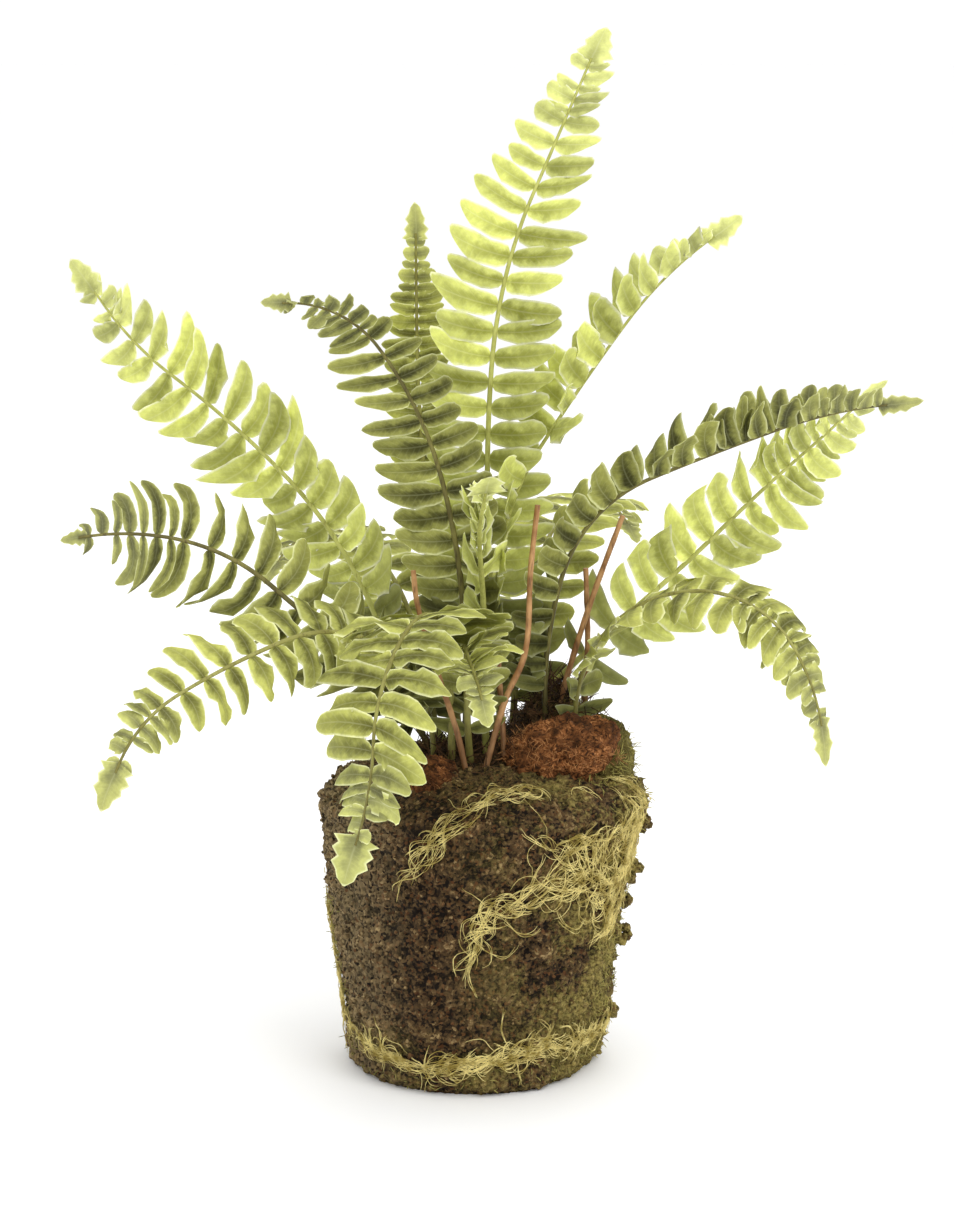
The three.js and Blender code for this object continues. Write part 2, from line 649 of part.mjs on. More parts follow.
// Leaflets are fitted one by one: each is lifted, lowered or shortened until it is clear.
const boxOf = (solid) => {
  const { numProp, vertProperties } = solid.getMesh();
  const box = new THREE.Box3();
  for (let k = 0; k < vertProperties.length; k += numProp) {
    box.expandByPoint(new THREE.Vector3(vertProperties[k], vertProperties[k + 1], vertProperties[k + 2]));
  }
  return box;
};
const twigsAndStalks = [...twigs, ...stalks].map(({ solid }) => solid);
const fixed = [soil, ...solidsOnTop, ...twigsAndStalks].map((solid) => ({ solid, box: boxOf(solid) }));
const placed = [];

function isClear(candidate) {
  return [...fixed, ...placed].every((other) =>
    !candidate.box.intersectsBox(other.box) || !overlaps(candidate.solid, other.solid));
}

function fitLeaflet(frond, frame, q, hand, seed) {
  for (const shorten of SHORTENINGS) {
    for (const turn of RETRY_ANGLES) {
      const pose = [frond, frame, q, hand, turn, shorten, seed];
      if (isClear(looseLeaflet(leafletSections(...pose, true, CLEARANCE)))) {
        placed.push(looseLeaflet(leafletSections(...pose, true)));
        return leafletSections(...pose);
      }
    }
  }
  return null;
}

FRONDS.forEach((frond, index) => {
  const spine = spineOf(frond);
  const leaflets = new Map();
  pairStations(frond).forEach(({ t, q }, pair) => {
    [1, -1].forEach((hand) => {
      const frame = { ...spine(t), t };
      const sections = fitLeaflet(frond, frame, q, hand, index * 31 + pair * 2.7 + hand);
      if (sections) leaflets.set(`${pair},${hand}`, sections);
    });
  });
  plant.add(meshOf(frond.name, frondShell(frond, leaflets).solid(), frond.tone));
});

export default plant;
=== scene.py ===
# %% [markdown]
# # A sword fern on a bare root ball
#
# This lesson dresses a measured model of a fern in Blender. The measured model gives the sizes
# and places. Here each frond gets real leaflets, the root ball gets crumbly soil, and moss,
# coir and old stalks are laid where the model has its plain solids.
#
# The frame comes first, because every later piece is placed by it.

# %% Load the frame
import math
import random

import bmesh
import bpy
import numpy as np
from mathutils import Matrix, Vector
from mathutils.kdtree import KDTree


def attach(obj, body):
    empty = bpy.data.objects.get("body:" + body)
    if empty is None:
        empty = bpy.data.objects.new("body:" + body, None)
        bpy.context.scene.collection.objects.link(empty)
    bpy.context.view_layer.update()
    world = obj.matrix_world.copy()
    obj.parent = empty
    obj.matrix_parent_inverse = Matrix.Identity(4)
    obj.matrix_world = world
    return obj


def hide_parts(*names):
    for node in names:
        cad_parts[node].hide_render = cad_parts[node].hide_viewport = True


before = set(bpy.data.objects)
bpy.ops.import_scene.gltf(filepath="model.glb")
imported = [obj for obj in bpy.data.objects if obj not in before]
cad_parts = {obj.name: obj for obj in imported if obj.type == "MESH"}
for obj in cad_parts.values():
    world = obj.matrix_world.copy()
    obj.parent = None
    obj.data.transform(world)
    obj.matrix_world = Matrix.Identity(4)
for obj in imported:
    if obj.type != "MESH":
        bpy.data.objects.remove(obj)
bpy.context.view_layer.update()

# %% [markdown]
# ## The studio
#
# A small plant is usually shown on a white sweep under large soft boxes. A wide pale floor
# and a white surround give the same soft light from all sides, and a few big area lamps add
# a direction to it: a key lamp at the upper right, a fill at the left and one behind, which
# shines through the thin leaflets. Big lamps were chosen because they give wide soft shadows.

# %% Camera and floor
MM = 0.001  # the sizes below are in millimetres, and Blender works in metres

CAMERA_PLACE = (0.002, -1.44, 0.47)
CAMERA_TILT = 10.4  # degrees below the level
CAMERA_LENS = 100

bpy.ops.object.select_all(action="DESELECT")
bpy.ops.object.camera_add(location=CAMERA_PLACE, rotation=(math.radians(90 - CAMERA_TILT), 0, 0))
camera = bpy.context.object
camera.name = "camera"
camera.data.lens = CAMERA_LENS
bpy.context.scene.camera = camera

FLOOR_SIZE = 40
bpy.ops.mesh.primitive_plane_add(size=FLOOR_SIZE)
floor = bpy.context.object
floor.name = "studio_floor"
paper = bpy.data.materials.new("white_paper")
paper.use_nodes = True
paper_shader = paper.node_tree.nodes["Principled BSDF"]
paper_shader.inputs["Base Color"].default_value = (0.95, 0.95, 0.95, 1)
paper_shader.inputs["Roughness"].default_value = 0.9
paper_shader.inputs["Specular IOR Level"].default_value = 0.1
floor.data.materials.append(paper)
print("camera looks down by", CAMERA_TILT, "degrees")

# %% Surround and lamps
SURROUND_STRENGTH = 1.06

world = bpy.data.worlds.new("studio")
bpy.context.scene.world = world
world.use_nodes = True
world.node_tree.nodes["Background"].inputs["Color"].default_value = (1, 1, 1, 1)
world.node_tree.nodes["Background"].inputs["Strength"].default_value = SURROUND_STRENGTH
bpy.context.scene.view_settings.view_transform = "Standard"

PLANT_MIDDLE = Vector((0, 0, 0.2))
# name: place, width of the lamp, power in watts
LAMPS = {
    "key_lamp": ((0.8, -1.2, 1.5), 1.0, 12),
    "fill_lamp": ((-1.5, -1.0, 1.2), 1.2, 1.5),
    "back_lamp": ((0.2, 1.3, 1.6), 1.4, 9),
    "top_lamp": ((0, -0.1, 2.2), 1.2, 4),
}
for name, (place, width, power) in LAMPS.items():
    bpy.ops.object.light_add(type="AREA", location=place)
    lamp = bpy.context.object
    lamp.name = name
    lamp.data.size = width
    lamp.data.energy = power
    lamp.rotation_euler = (PLANT_MIDDLE - Vector(place)).to_track_quat("-Z", "Y").to_euler()
print(len(LAMPS), "lamps")

# %% [markdown]
# ## Helpers for modelling
#
# Blender's tools act on whatever is selected. Each step below therefore starts with nothing
# selected and picks its vertices by their place, as a modeller picks them with the mouse.
# The second cell of helpers reads values off lists and makes copies differ a little.

# %% Selecting and editing
def deselect_all():
    """Object mode with nothing selected."""
    if bpy.context.object and bpy.context.object.mode != "OBJECT":
        bpy.ops.object.mode_set(mode="OBJECT")
    bpy.ops.object.select_all(action="DESELECT")


def pick_corners(piece, test):
    """In edit mode, selects just the vertices whose place passes the test."""
    mesh = bmesh.from_edit_mesh(piece.data)
    for vertex in mesh.verts:
        vertex.select_set(False)
    mesh.select_flush(False)
    for vertex in mesh.verts:
        if test(vertex.co):
            vertex.select_set(True)
    mesh.select_flush(True)
    bmesh.update_edit_mesh(piece.data)


def place_of(piece):
    """The vertices of a piece as an array."""
    places = np.empty(len(piece.data.vertices) * 3)
    piece.data.vertices.foreach_get("co", places)
    return places.reshape(-1, 3)


def move_to(piece, places):
    """Puts the vertices of a piece at new places."""
    piece.data.vertices.foreach_set("co", np.asarray(places, dtype=np.float32).ravel())
    piece.data.update()


def pick_only(*pieces):
    """Selects just these pieces and makes the first one active."""
    deselect_all()
    for piece in pieces:
        piece.select_set(True)
    bpy.context.view_layer.objects.active = pieces[0]


def join_as(name, pieces):
    """Joins pieces into one, the first of them."""
    pick_only(*pieces)
    bpy.ops.object.join()
    joined = bpy.context.view_layer.objects.active
    joined.name = name
    joined.data.name = name
    return joined


def copy_of(template):
    """A copy with a mesh of its own."""
    copy = template.copy()
    copy.data = template.data.copy()
    bpy.context.collection.objects.link(copy)
    return copy


# %% Reading values off lists
def mix(low, high, share):
    return low + (high - low) * share


def along_stations(values, share):
    """A value read off evenly spaced stations."""
    return float(np.interp(share * (len(values) - 1), range(len(values)), values))


def wobble(seed):
    """A smooth, repeatable number between -1 and 1."""
    return math.sin(seed * 2.399) * 0.6 + math.sin(seed * 5.13 + 1) * 0.4


def smooth_step(value, low, high):
    share = min(max((value - low) / (high - low), 0), 1)
    return share * share * (3 - 2 * share)


print("a third of the way along 2, 4, 9:", round(along_stations((2, 4, 9), 1 / 3), 2))

# %% [markdown]
# ## Helpers for materials
#
# A material here is a small network of nodes. The class below holds one material. Each of its
# methods adds a node, joins it up and gives back its output, so that every material further
# down reads as a list of what it is made of.

# %% Adding nodes
class Finish:
    """A material being made. Each method adds a node and gives back its output."""

    def __init__(self, name):
        self.material = bpy.data.materials.new(name)
        self.material.use_nodes = True
        self.tree = self.material.node_tree
        self.tree.nodes.remove(self.tree.nodes["Principled BSDF"])
        self.place = self.add("TexCoord").outputs["Object"]

    def add(self, kind, sources=(), **settings):
        """A new node. Each source is another node's output or a plain value."""
        node = self.tree.nodes.new("ShaderNode" + kind)
        for key, value in settings.items():
            setattr(node, key, value)
        for key, source in dict(sources).items():
            if isinstance(source, bpy.types.NodeSocket):
                self.tree.links.new(source, node.inputs[key])
            else:
                node.inputs[key].default_value = source
        return node

    def split(self, source):
        """The X, Y and Z of a place or of a UV map."""
        return tuple(self.add("SeparateXYZ", {0: source}).outputs)

    def uv(self, name):
        return self.add("UVMap", uv_map=name).outputs["UV"]

    def math(self, operation, *sources):
        return self.add("Math", enumerate(sources), operation=operation).outputs[0]

    def times(self, first, second):
        return self.math("MULTIPLY", first, second)

    def times_add(self, first, second, third):
        """The first times the second, plus the third."""
        return self.math("MULTIPLY_ADD", first, second, third)

    def ramp(self, source, low, high, start=0.0, end=1.0):
        """A smooth change from start to end as the source goes from low to high."""
        sources = enumerate((source, low, high, start, end))
        return self.add("MapRange", sources, interpolation_type="SMOOTHSTEP").outputs[0]

    def mix(self, share, first, second, blend="MIX"):
        sources = {"Factor": share, "A": first, "B": second}
        return self.add("Mix", sources, data_type="RGBA", blend_type=blend).outputs["Result"]

    def noise(self, scale, detail=3.0, roughness=0.55, distortion=0.0, place=None):
        sources = {
            "Vector": self.place if place is None else place, "Scale": scale, "Detail": detail,
            "Roughness": roughness, "Distortion": distortion,
        }
        return self.add("TexNoise", sources).outputs["Fac"]

    def bump(self, height, distance, strength):
        sources = {"Height": height, "Distance": distance, "Strength": strength}
        return self.add("Bump", sources).outputs["Normal"]

    def skin(self, colour, roughness, normal, gloss):
        """An ordinary surface, from dull to glossy."""
        sources = {
            "Base Color": colour, "Roughness": roughness, "Specular IOR Level": gloss, "Normal": normal,
        }
        return self.add("BsdfPrincipled", sources).outputs[0]

    def done(self, shader):
        self.tree.links.new(shader, self.tree.nodes["Material Output"].inputs["Surface"])
        return self.material


def paint(red, green, blue):
    """A colour given as it looks on a screen, 0 to 255, turned into light."""
    def light(value):
        share = value / 255
        return share / 12.92 if share <= 0.04045 else ((share + 0.055) / 1.055) ** 2.4

    return (light(red), light(green), light(blue), 1)


print("middle grey as light:", round(paint(128, 128, 128)[0], 3))

# %% [markdown]
# ## The leaflet
#
# A sword fern's leaflet is an oblong blade with a blunt tip, a fraction of a millimetre thick.
# It could be cut from a picture on a flat card, but a card has no edge and looks like paper
# from the side. This one is a grid whose rows are spread and narrowed to the leaf's outline,
# then doubled and closed at its rim into a very thin lens. It is modelled once, and only has a
# few dozen faces, because several hundred copies of it make the plant.
#
# The grid's own UV map stays with it. It runs along and across the blade, so the material can
# paint a midrib, veins and a pale rim that follow every bend.

# %% Model the leaflet
BLADE_THICKNESS = 0.5

# Each row as [share of the length, share of the full width].
LEAFLET_ROWS = [
    (0.0, 0.3), (0.05, 0.68), (0.16, 0.86), (0.34, 0.97), (0.54, 1.0), (0.74, 0.92), (0.88, 0.68),
    (0.955, 0.38), (1.0, 0.04),
]
# The frond's last leaflet is lobed.
TIP_ROWS = [
    (0.0, 0.3), (0.08, 1.0), (0.2, 0.7), (0.32, 0.98), (0.46, 0.66), (0.58, 0.8), (0.72, 0.5),
    (0.87, 0.4), (1.0, 0.05),
]


def model_blade(name, rows):
    """A unit blade: 1 long from the origin along X and 1 wide, as a closed thin lens."""
    deselect_all()
    steps = len(rows) - 1
    bpy.ops.mesh.primitive_grid_add(x_subdivisions=steps, y_subdivisions=4, size=1, location=(0.5, 0, 0))
    blade = bpy.context.object
    blade.name = name
    bpy.ops.object.transform_apply(location=True, rotation=False, scale=False)
    bpy.ops.object.mode_set(mode="EDIT")
    for row in reversed(range(steps + 1)):
        share, width = rows[row]
        start = row / steps
        pick_corners(blade, lambda place: abs(place.x - start) < 0.3 / steps)
        bpy.ops.transform.resize(value=(1, width, 1), center_override=(start, 0, 0))
        bpy.ops.transform.translate(value=(share - start + 10, 0, 0))
    bpy.ops.mesh.select_all(action="SELECT")
    bpy.ops.transform.translate(value=(-10, 0, 0))

    # The underside: a second copy, turned over, with its inner vertices pushed down.
    bpy.ops.mesh.duplicate()
    bpy.ops.mesh.flip_normals()
    mesh = bmesh.from_edit_mesh(blade.data)
    for vertex in mesh.verts:
        vertex.select_set(vertex.select and not vertex.is_boundary)
    mesh.select_flush(False)
    for vertex in mesh.verts:
        vertex.select_set(vertex.select and not vertex.is_boundary)
    bmesh.update_edit_mesh(blade.data)
    bpy.ops.transform.translate(value=(0, 0, -BLADE_THICKNESS * MM))
    bpy.ops.mesh.select_all(action="SELECT")
    bpy.ops.mesh.remove_doubles(threshold=1e-6)
    bpy.ops.object.mode_set(mode="OBJECT")
    bpy.ops.object.shade_smooth_by_angle(angle=math.radians(40))
    blade.data.uv_layers[0].name = "blade"
    blade.data.uv_layers.new(name="tone")
    return blade


leaflet_template = model_blade("leaflet_template", LEAFLET_ROWS)
tip_template = model_blade("tip_template", TIP_ROWS)
print("leaflet:", len(leaflet_template.data.polygons), "faces;",
      "tip:", len(tip_template.data.polygons), "faces")

# %% [markdown]
# ## The stalk
#
# The stalk is a long tapered tube, a little flat on its upper face. A circle extruded ring by
# ring gives a straight unit tube with enough rings to bend smoothly. Every frond and every old
# stalk takes a copy of it and lays it along its own line.

# %% Model the stalk
STALK_RINGS = 48
STALK_SIDES = 8

deselect_all()
bpy.ops.mesh.primitive_circle_add(vertices=STALK_SIDES, radius=1, fill_type="NGON")
stalk_template = bpy.context.object
stalk_template.name = "stalk_template"
bpy.ops.object.mode_set(mode="EDIT")
bpy.ops.mesh.select_all(action="SELECT")
for ring in range(STALK_RINGS):
    bpy.ops.mesh.extrude_region_move(TRANSFORM_OT_translate={"value": (0, 0, 1 / STALK_RINGS)})
bpy.ops.mesh.select_all(action="SELECT")
bpy.ops.mesh.normals_make_consistent(inside=False)
bpy.ops.object.mode_set(mode="OBJECT")
bpy.ops.object.shade_smooth_by_angle(angle=math.radians(60))
stalk_template.data.uv_layers.new(name="blade")
stalk_template.data.uv_layers.new(name="tone")
print("stalk:", len(stalk_template.data.polygons), "faces")

# %% [markdown]
# ## The root ball's surface
#
# The soil still has the shape of the pot it grew in: a tapered block with a low dome on top
# and a mound at the right. The same few formulas that shaped the measured solid are written
# here again, because moss, coir and crumbs all have to sit on that surface.

# %% The soil's surface, in millimetres
BALL_HEIGHT = 126
BALL_BASE_RADIUS = 57
BALL_RIM_RADIUS = 73
BALL_LEAN = 5
BALL_WEAR = 5
BALL_ROUGHNESS = 1.1
DOME_RISE = 17
MOUND_RISE = 30
MOUND_SPREAD = 13
MOUND_SPOT = (39, 20)


def side_radius(angle, height):
    rise = height / BALL_HEIGHT
    taper = mix(BALL_BASE_RADIUS, BALL_RIM_RADIUS, max(rise, 0) ** 1.25)
    swell = math.sin(3 * angle + 7 * rise) + 0.6 * math.sin(5 * angle - 4 * rise + 1)
    return taper + BALL_ROUGHNESS * swell


def top_height(x, y):
    from_axis = math.hypot(x - BALL_LEAN, y) / BALL_RIM_RADIUS
    from_mound = math.hypot(x - MOUND_SPOT[0], y - MOUND_SPOT[1]) / MOUND_SPREAD
    dome = max(DOME_RISE * (1 - from_axis**2), 0)
    mound = MOUND_RISE * math.exp(-(from_mound**2) / 2)
    return BALL_HEIGHT + dome + mound * smooth_step(1 - from_axis, 0, 0.2)


def side_point(angle, height, outward=0.0):
    radius = side_radius(angle, height) + outward
    middle = BALL_LEAN * height / BALL_HEIGHT
    return Vector((middle + radius * math.cos(angle), radius * math.sin(angle), height))


def soil_point(angle, height, outward=0.0):
    """A point on the soil. A height above the rim's counts on inward over the top."""
    past = height - (BALL_HEIGHT - BALL_WEAR)
    if past <= 0:
        return side_point(angle, height, outward)
    rim = side_point(angle, BALL_HEIGHT, -past)
    edge = max(1 - past / (2 * BALL_WEAR), 0)
    level = top_height(rim.x, rim.y) - BALL_WEAR * edge**2 + outward * min(past / BALL_WEAR, 1)
    spread = outward * edge
    return Vector((rim.x + spread * math.cos(angle), rim.y + spread * math.sin(angle), level))


print("rim at the right:", [round(value, 1) for value in soil_point(0, BALL_HEIGHT)])

# %% [markdown]
# ## The fronds
#
# A frond is a stalk that rises, arches over and carries pairs of leaflets along both sides,
# small near the tip. Each one is described by where it leaves the soil, the way it heads, how
# steeply it climbs at five stations, its roll about itself, and its leaflets.
#
# These are the numbers that the measured model was built from, so the leaflets grow in the
# same places. There, a leaflet that met a neighbour was lifted, lowered or shortened. The tip
# of each measured leaflet tells which, and a leaflet that had no room is left out here too.

# %% Table of fronds
BRIGHT, MIDDLE, DARK = "leaf_bright", "leaf_mid", "leaf_dark"

# For each frond its finish, its spot, its heading and its roll at foot and tip, its climb and
# its length. Then its bare share, its pairs of leaflets, and their length, width, taper, lift
# and droop.
FROND_SIZES = {
    "tall": ((BRIGHT, (6, 14), (54, 43), (22, 24), (83, 94, 84, 57, 59), 325),
        (0.16, 23, 31, 9.8, 2, 18, 12)),
    "right_upper": ((BRIGHT, (12, 3), (15, 14), (0, -8), (92, 90, 56, 52, 29), 266),
        (0.18, 16, 30, 11, 2.4, 42, 8)),
    "back_small": ((MIDDLE, (-6, 24), (100, 118), (-10, -15), (60, 50, 74, 88, 90), 252),
        (0.48, 11, 16, 8, 2, 15, 10)),
    "arching": ((DARK, (-3, -3), (201, 198), (72, 30), (92, 86, 74, 53, -16), 246),
        (0.22, 16, 27, 9.8, 2.2, 8, 22)),
    "left_upper": ((BRIGHT, (-12, 10), (163, 163), (68, 74), (54, 66, 44, 34, 62), 274),
        (0.22, 18, 28, 11, 2.4, 8, 6)),
    "left_middle": ((DARK, (-19, 1), (185, 184), (-60, -72), (66, 40, 42, 10, -16), 203),
        (0.16, 13, 30, 10.4, 4, 6, 18)),
    "left_lower": ((MIDDLE, (-17, -10), (216, 211), (-30, -45), (90, 38, -14, -24, -80), 219),
        (0.18, 14, 25, 9.6, 2, 8, 20)),
    "front_left": ((MIDDLE, (-9, -18), (268, 226), (0, 22), (92, 58, -22, -86, -54), 221),
        (0.2, 16, 34, 9.6, 3.6, 6, 14)),
    "front_centre": ((BRIGHT, (6, -12), (252, 280), (0, 0), (82, 92, 46, 26, 46), 177),
        (0.26, 10, 18, 9.6, 3, 50, 0)),
    "front_short": ((MIDDLE, (-1, -21), (252, 290), (0, 10), (72, 90, 4, -14, -66), 132),
        (0.22, 8, 22, 10, 2.4, 6, 24)),
    "right_dark": ((DARK, (32, 8), (-4, -1), (0, -6), (92, 74, 23, 20, 2), 240),
        (0.1, 17, 25, 10.2, 2.6, 36, 6)),
    "right_bright": ((BRIGHT, (38, 21), (16, 17), (-66, -60), (42, 38, 42, 38, 42), 200),
        (0.14, 13, 34, 11, 2.4, 10, 14)),
    "right_droop": ((MIDDLE, (45, 4), (330, 345), (0, 30), (92, 48, 2, -58, -88), 195),
        (0.06, 14, 26, 10.4, 2.2, 8, 20)),
    "back_left": ((MIDDLE, (-16, 22), (118, 128), (0, 0), (78, 56, 20, -18, -54), 205),
        (0.14, 12, 27, 10.8, 2.2, 10, 18)),
    "back_right": ((MIDDLE, (18, 30), (72, 62), (0, 0), (80, 58, 24, -14, -50), 210),
        (0.14, 12, 27, 10.8, 2.2, 10, 18)),
}
FROND_KEYS = (
    "slot", "spot", "heading", "roll", "climb", "length",
    "bare", "pairs", "leaflet", "width", "taper", "lift", "droop",
)
FRONDS = {
    "frond_" + name: dict(zip(FROND_KEYS, stalk + leaflets))
    for name, (stalk, leaflets) in FROND_SIZES.items()
}
print(len(FRONDS), "fronds,", 2 * sum(frond["pairs"] for frond in FRONDS.values()), "places for leaflets")

# %% The line of a stalk
SPINE_STEPS = 160
STALK_BASE_RADIUS = 1.7
STALK_TIP_RADIUS = 0.55
STALK_FLATNESS = 0.76
PLANT_DEPTH = 12
TIP_LEAFLET_LENGTH = 17


class Spine:
    """The line that a frond's stalk follows: its point and its three directions at any share."""

    def __init__(self, frond):
        self.frond = frond
        x, y = frond["spot"]
        points = [Vector((x, y, top_height(x, y)))]
        stride = frond["length"] / SPINE_STEPS
        for step in range(SPINE_STEPS):
            points.append(points[-1] + self.direction((step + 0.5) / SPINE_STEPS) * stride)
        self.points = points

    def direction(self, t):
        heading = math.radians(mix(*self.frond["heading"], t))
        climb = math.radians(along_stations(self.frond["climb"], t))
        level = math.cos(climb)
        return Vector((level * math.cos(heading), level * math.sin(heading), math.sin(climb)))

    def at(self, t):
        """(point, along, side, normal) at a share of the length."""
        place = min(max(t, 0), 1) * SPINE_STEPS
        index = min(int(place), SPINE_STEPS - 1)
        point = self.points[index].lerp(self.points[index + 1], place - index)
        along = self.direction(t)
        heading = math.radians(mix(*self.frond["heading"], t))
        roll = Matrix.Rotation(math.radians(mix(*self.frond["roll"], t)), 3, along)
        side = roll @ Vector((math.sin(heading), -math.cos(heading), 0))
        return point, along, side, side.cross(along)


def stalk_radius(t):
    return mix(STALK_BASE_RADIUS, STALK_TIP_RADIUS, t)


def leafy_end(frond):
    """The share of the length where the terminal leaflet starts."""
    return 1 - TIP_LEAFLET_LENGTH / frond["length"]


print("a stalk's radius at foot, middle and tip:", [round(stalk_radius(t), 2) for t in (0, 0.5, 1)])

# %% Finding the measured leaflets
LEAFLET_SWEEP = 9
MEASURED_OUTLINE = (0.34, 0.76, 1.0)
TURNS = (0, 10, -10, 20, -20, 32, -32, 45, -45)
SHORTENINGS = (1, 0.75, 0.5)
TIP_TOLERANCE = 0.02  # millimetres between a computed tip and a measured one
NARROWEST = 0.8  # width of the smallest leaflets against the measured width
FULLEST = 1.14  # and of full-sized ones: their wavy rims stand proud of the measured blade


def leaflet_size(frond, q):
    return min(1, 0.74 + 1.3 * q) * min(1, 0.32 + frond["taper"] * (1 - q))


def measured_tip(frond, station, hand, turn, length, sweep, seed):
    """Where the measured leaflet's tip would be with this turn and length."""
    (point, along, side, normal), t = station
    outward = side * hand
    tip = point + outward * stalk_radius(t)
    reached = 0
    for share in MEASURED_OUTLINE:
        bend = math.radians(frond["lift"] + turn + 5 * wobble(seed + 7) - frond["droop"] * (share + reached))
        reach = outward * math.cos(bend) + normal * math.sin(bend)
        tip = tip + (reach * math.cos(sweep) + along * math.sin(sweep)) * length * (share - reached)
        reached = share
    return tip


def measured_corners(node):
    """The vertices of a measured node, ready to be searched, in millimetres."""
    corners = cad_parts[node].data.vertices
    tree = KDTree(len(corners))
    for index, corner in enumerate(corners):
        tree.insert(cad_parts[node].matrix_world @ corner.co / MM, index)
    tree.balance()
    return tree


def leaflet_at(frond, station, q, hand, seed, sweep, length, lift, width_share=1.0):
    """One leaflet as a dict. Its share q of the leafy part sets its width."""
    return {
        "station": station, "q": q, "hand": hand, "seed": seed, "sweep": sweep, "length": length,
        "width": frond["width"] * mix(NARROWEST, FULLEST, leaflet_size(frond, q)) * width_share,
        "lift": math.radians(lift), "droop": math.radians(frond["droop"]),
    }


def find_leaflets(name, index):
    """The line of a frond's stalk, and each leaflet that its measured node has."""
    frond = FRONDS[name]
    spine = Spine(frond)
    corners = measured_corners(name)
    found = []
    for pair in range(frond["pairs"]):
        q = (pair + 0.5) / frond["pairs"]
        t = mix(frond["bare"], leafy_end(frond), q)
        station = spine.at(t), t
        for hand in (1, -1):
            seed = index * 31 + pair * 2.7 + hand
            full_length = frond["leaflet"] * leaflet_size(frond, q) * (1 + 0.06 * wobble(seed))
            sweep = math.radians(LEAFLET_SWEEP + 5 * wobble(seed + 3))
            for shorten, turn in ((shorten, turn) for shorten in SHORTENINGS for turn in TURNS):
                length = full_length * shorten
                tip = measured_tip(frond, station, hand, turn, length, sweep, seed)
                if corners.find(tip)[2] < TIP_TOLERANCE:
                    lift = frond["lift"] + turn + 5 * wobble(seed + 7)
                    found.append(leaflet_at(frond, station, q, hand, seed, sweep, length, lift))
                    break
    return spine, found


print("ways to lay each leaflet:", len(TURNS) * len(SHORTENINGS))

# %% [markdown]
# ## Leaf colours
#
# A leaflet isn't one green. Its rim is pale, the blade darkens to olive around the midrib and
# towards the stalk, fine veins run out to the rim, and each leaflet differs a little from its
# neighbour. All of that follows the leaflet's own UV map. Light also passes through the thin
# blade, so a share of translucent shader is mixed with the waxy surface.
#
# Three greens are enough for the plant, and they are lit and shaded copies of one green. Light is painted
# into the bright one, for fronds lit from behind, and shade into the dark one, for fronds in the shade. The
# mid-green one lies between.

# %% Leaf material
VEINS = 13


def leaf_material(name, rim, blade, blotch, shine_through, blotch_share):
    """Three colours, the share of light that shines through, and how strong the blotch is."""
    leaf = Finish(name)
    along, across, _ = leaf.split(leaf.uv("blade"))
    chance, on_frond, _ = leaf.split(leaf.uv("tone"))
    from_rib = leaf.math("ABSOLUTE", leaf.times_add(across, 2, -1))  # 0 on the midrib, 1 on the rim
    patches = leaf.noise(170, detail=4, roughness=0.65)
    fine = leaf.noise(900, detail=2)

    # Veins slant from the midrib towards the tip.
    slant = leaf.times_add(from_rib, -0.13, along)
    veins = leaf.ramp(leaf.math("SINE", leaf.times(slant, VEINS * 2 * math.pi)), 0.55, 1)
    rib = leaf.ramp(from_rib, 0.1, 0.0)

    # The dark blotch sits around the midrib and fades towards the rim and the tip.
    inner = leaf.ramp(leaf.times_add(patches, 1.3, from_rib), 0.75, 1.45, 1, 0)
    near = leaf.ramp(leaf.times_add(chance, 0.45, along), 0.4, 1.25, 1, 0.2)
    colour = leaf.mix(leaf.times(leaf.times(inner, near), blotch_share), blade, blotch)

    # The rim is pale, and more of it at the tip. The veins and the young outer leaflets are too.
    edge = leaf.math("MAXIMUM", from_rib, leaf.ramp(along, 0.82, 1.0))
    colour = leaf.mix(leaf.ramp(leaf.times_add(fine, 0.14, edge), 0.84, 1.06, 0, 0.8), colour, rim)
    pale_veins = leaf.math("MAXIMUM", leaf.times(veins, 0.4), rib)
    colour = leaf.mix(leaf.times(pale_veins, 0.16), colour, rim)
    colour = leaf.mix(leaf.ramp(on_frond, 0.72, 1.0, 0, 0.16), colour, rim)

    # Each leaflet has a tone of its own, and shade is painted onto the ones near the foot of the frond,
    # inside the crown.
    shade = leaf.times_add(chance, 0.36, 0.84)
    shade = leaf.times(shade, leaf.times_add(patches, 0.6, 0.7))
    # Painted shade: leaflets low on the frond are darkened.
    shade = leaf.times(shade, leaf.ramp(on_frond, 0.0, 0.14, 0.5, 1.02))
    grey = leaf.add("CombineColor", enumerate([shade] * 3)).outputs[0]
    colour = leaf.mix(1.0, colour, grey, "MULTIPLY")

    raised = leaf.math("ADD", leaf.times(veins, 0.3), rib)
    normal = leaf.bump(leaf.times_add(fine, 0.8, raised), 0.00016, 0.6)
    surface = leaf.skin(colour, leaf.ramp(patches, 0.3, 0.7, 0.52, 0.7), normal, 0.14)
    glow = leaf.add("BsdfTranslucent", {"Color": leaf.mix(0.3, colour, rim)}).outputs[0]
    return leaf.done(leaf.add("MixShader", enumerate((shine_through, surface, glow))).outputs[0])


# Painted light and shade: the bright finish is the leaf painted lighter, as if lit from behind, and the dark
# finish is the leaf painted darker, as if in shade.
LEAVES = {
    BRIGHT: leaf_material(
        "bright_leaf", paint(242, 242, 216), paint(216, 220, 130), paint(154, 158, 60),
        shine_through=0.38, blotch_share=0.92),
    MIDDLE: leaf_material(
        "middle_leaf", paint(240, 241, 192), paint(188, 190, 102), paint(98, 98, 38),
        shine_through=0.28, blotch_share=0.98),
    DARK: leaf_material(
        "dark_leaf", paint(226, 228, 176), paint(164, 165, 90), paint(68, 68, 28),
        shine_through=0.26, blotch_share=1.0),
}
print("leaf finishes:", ", ".join(LEAVES))

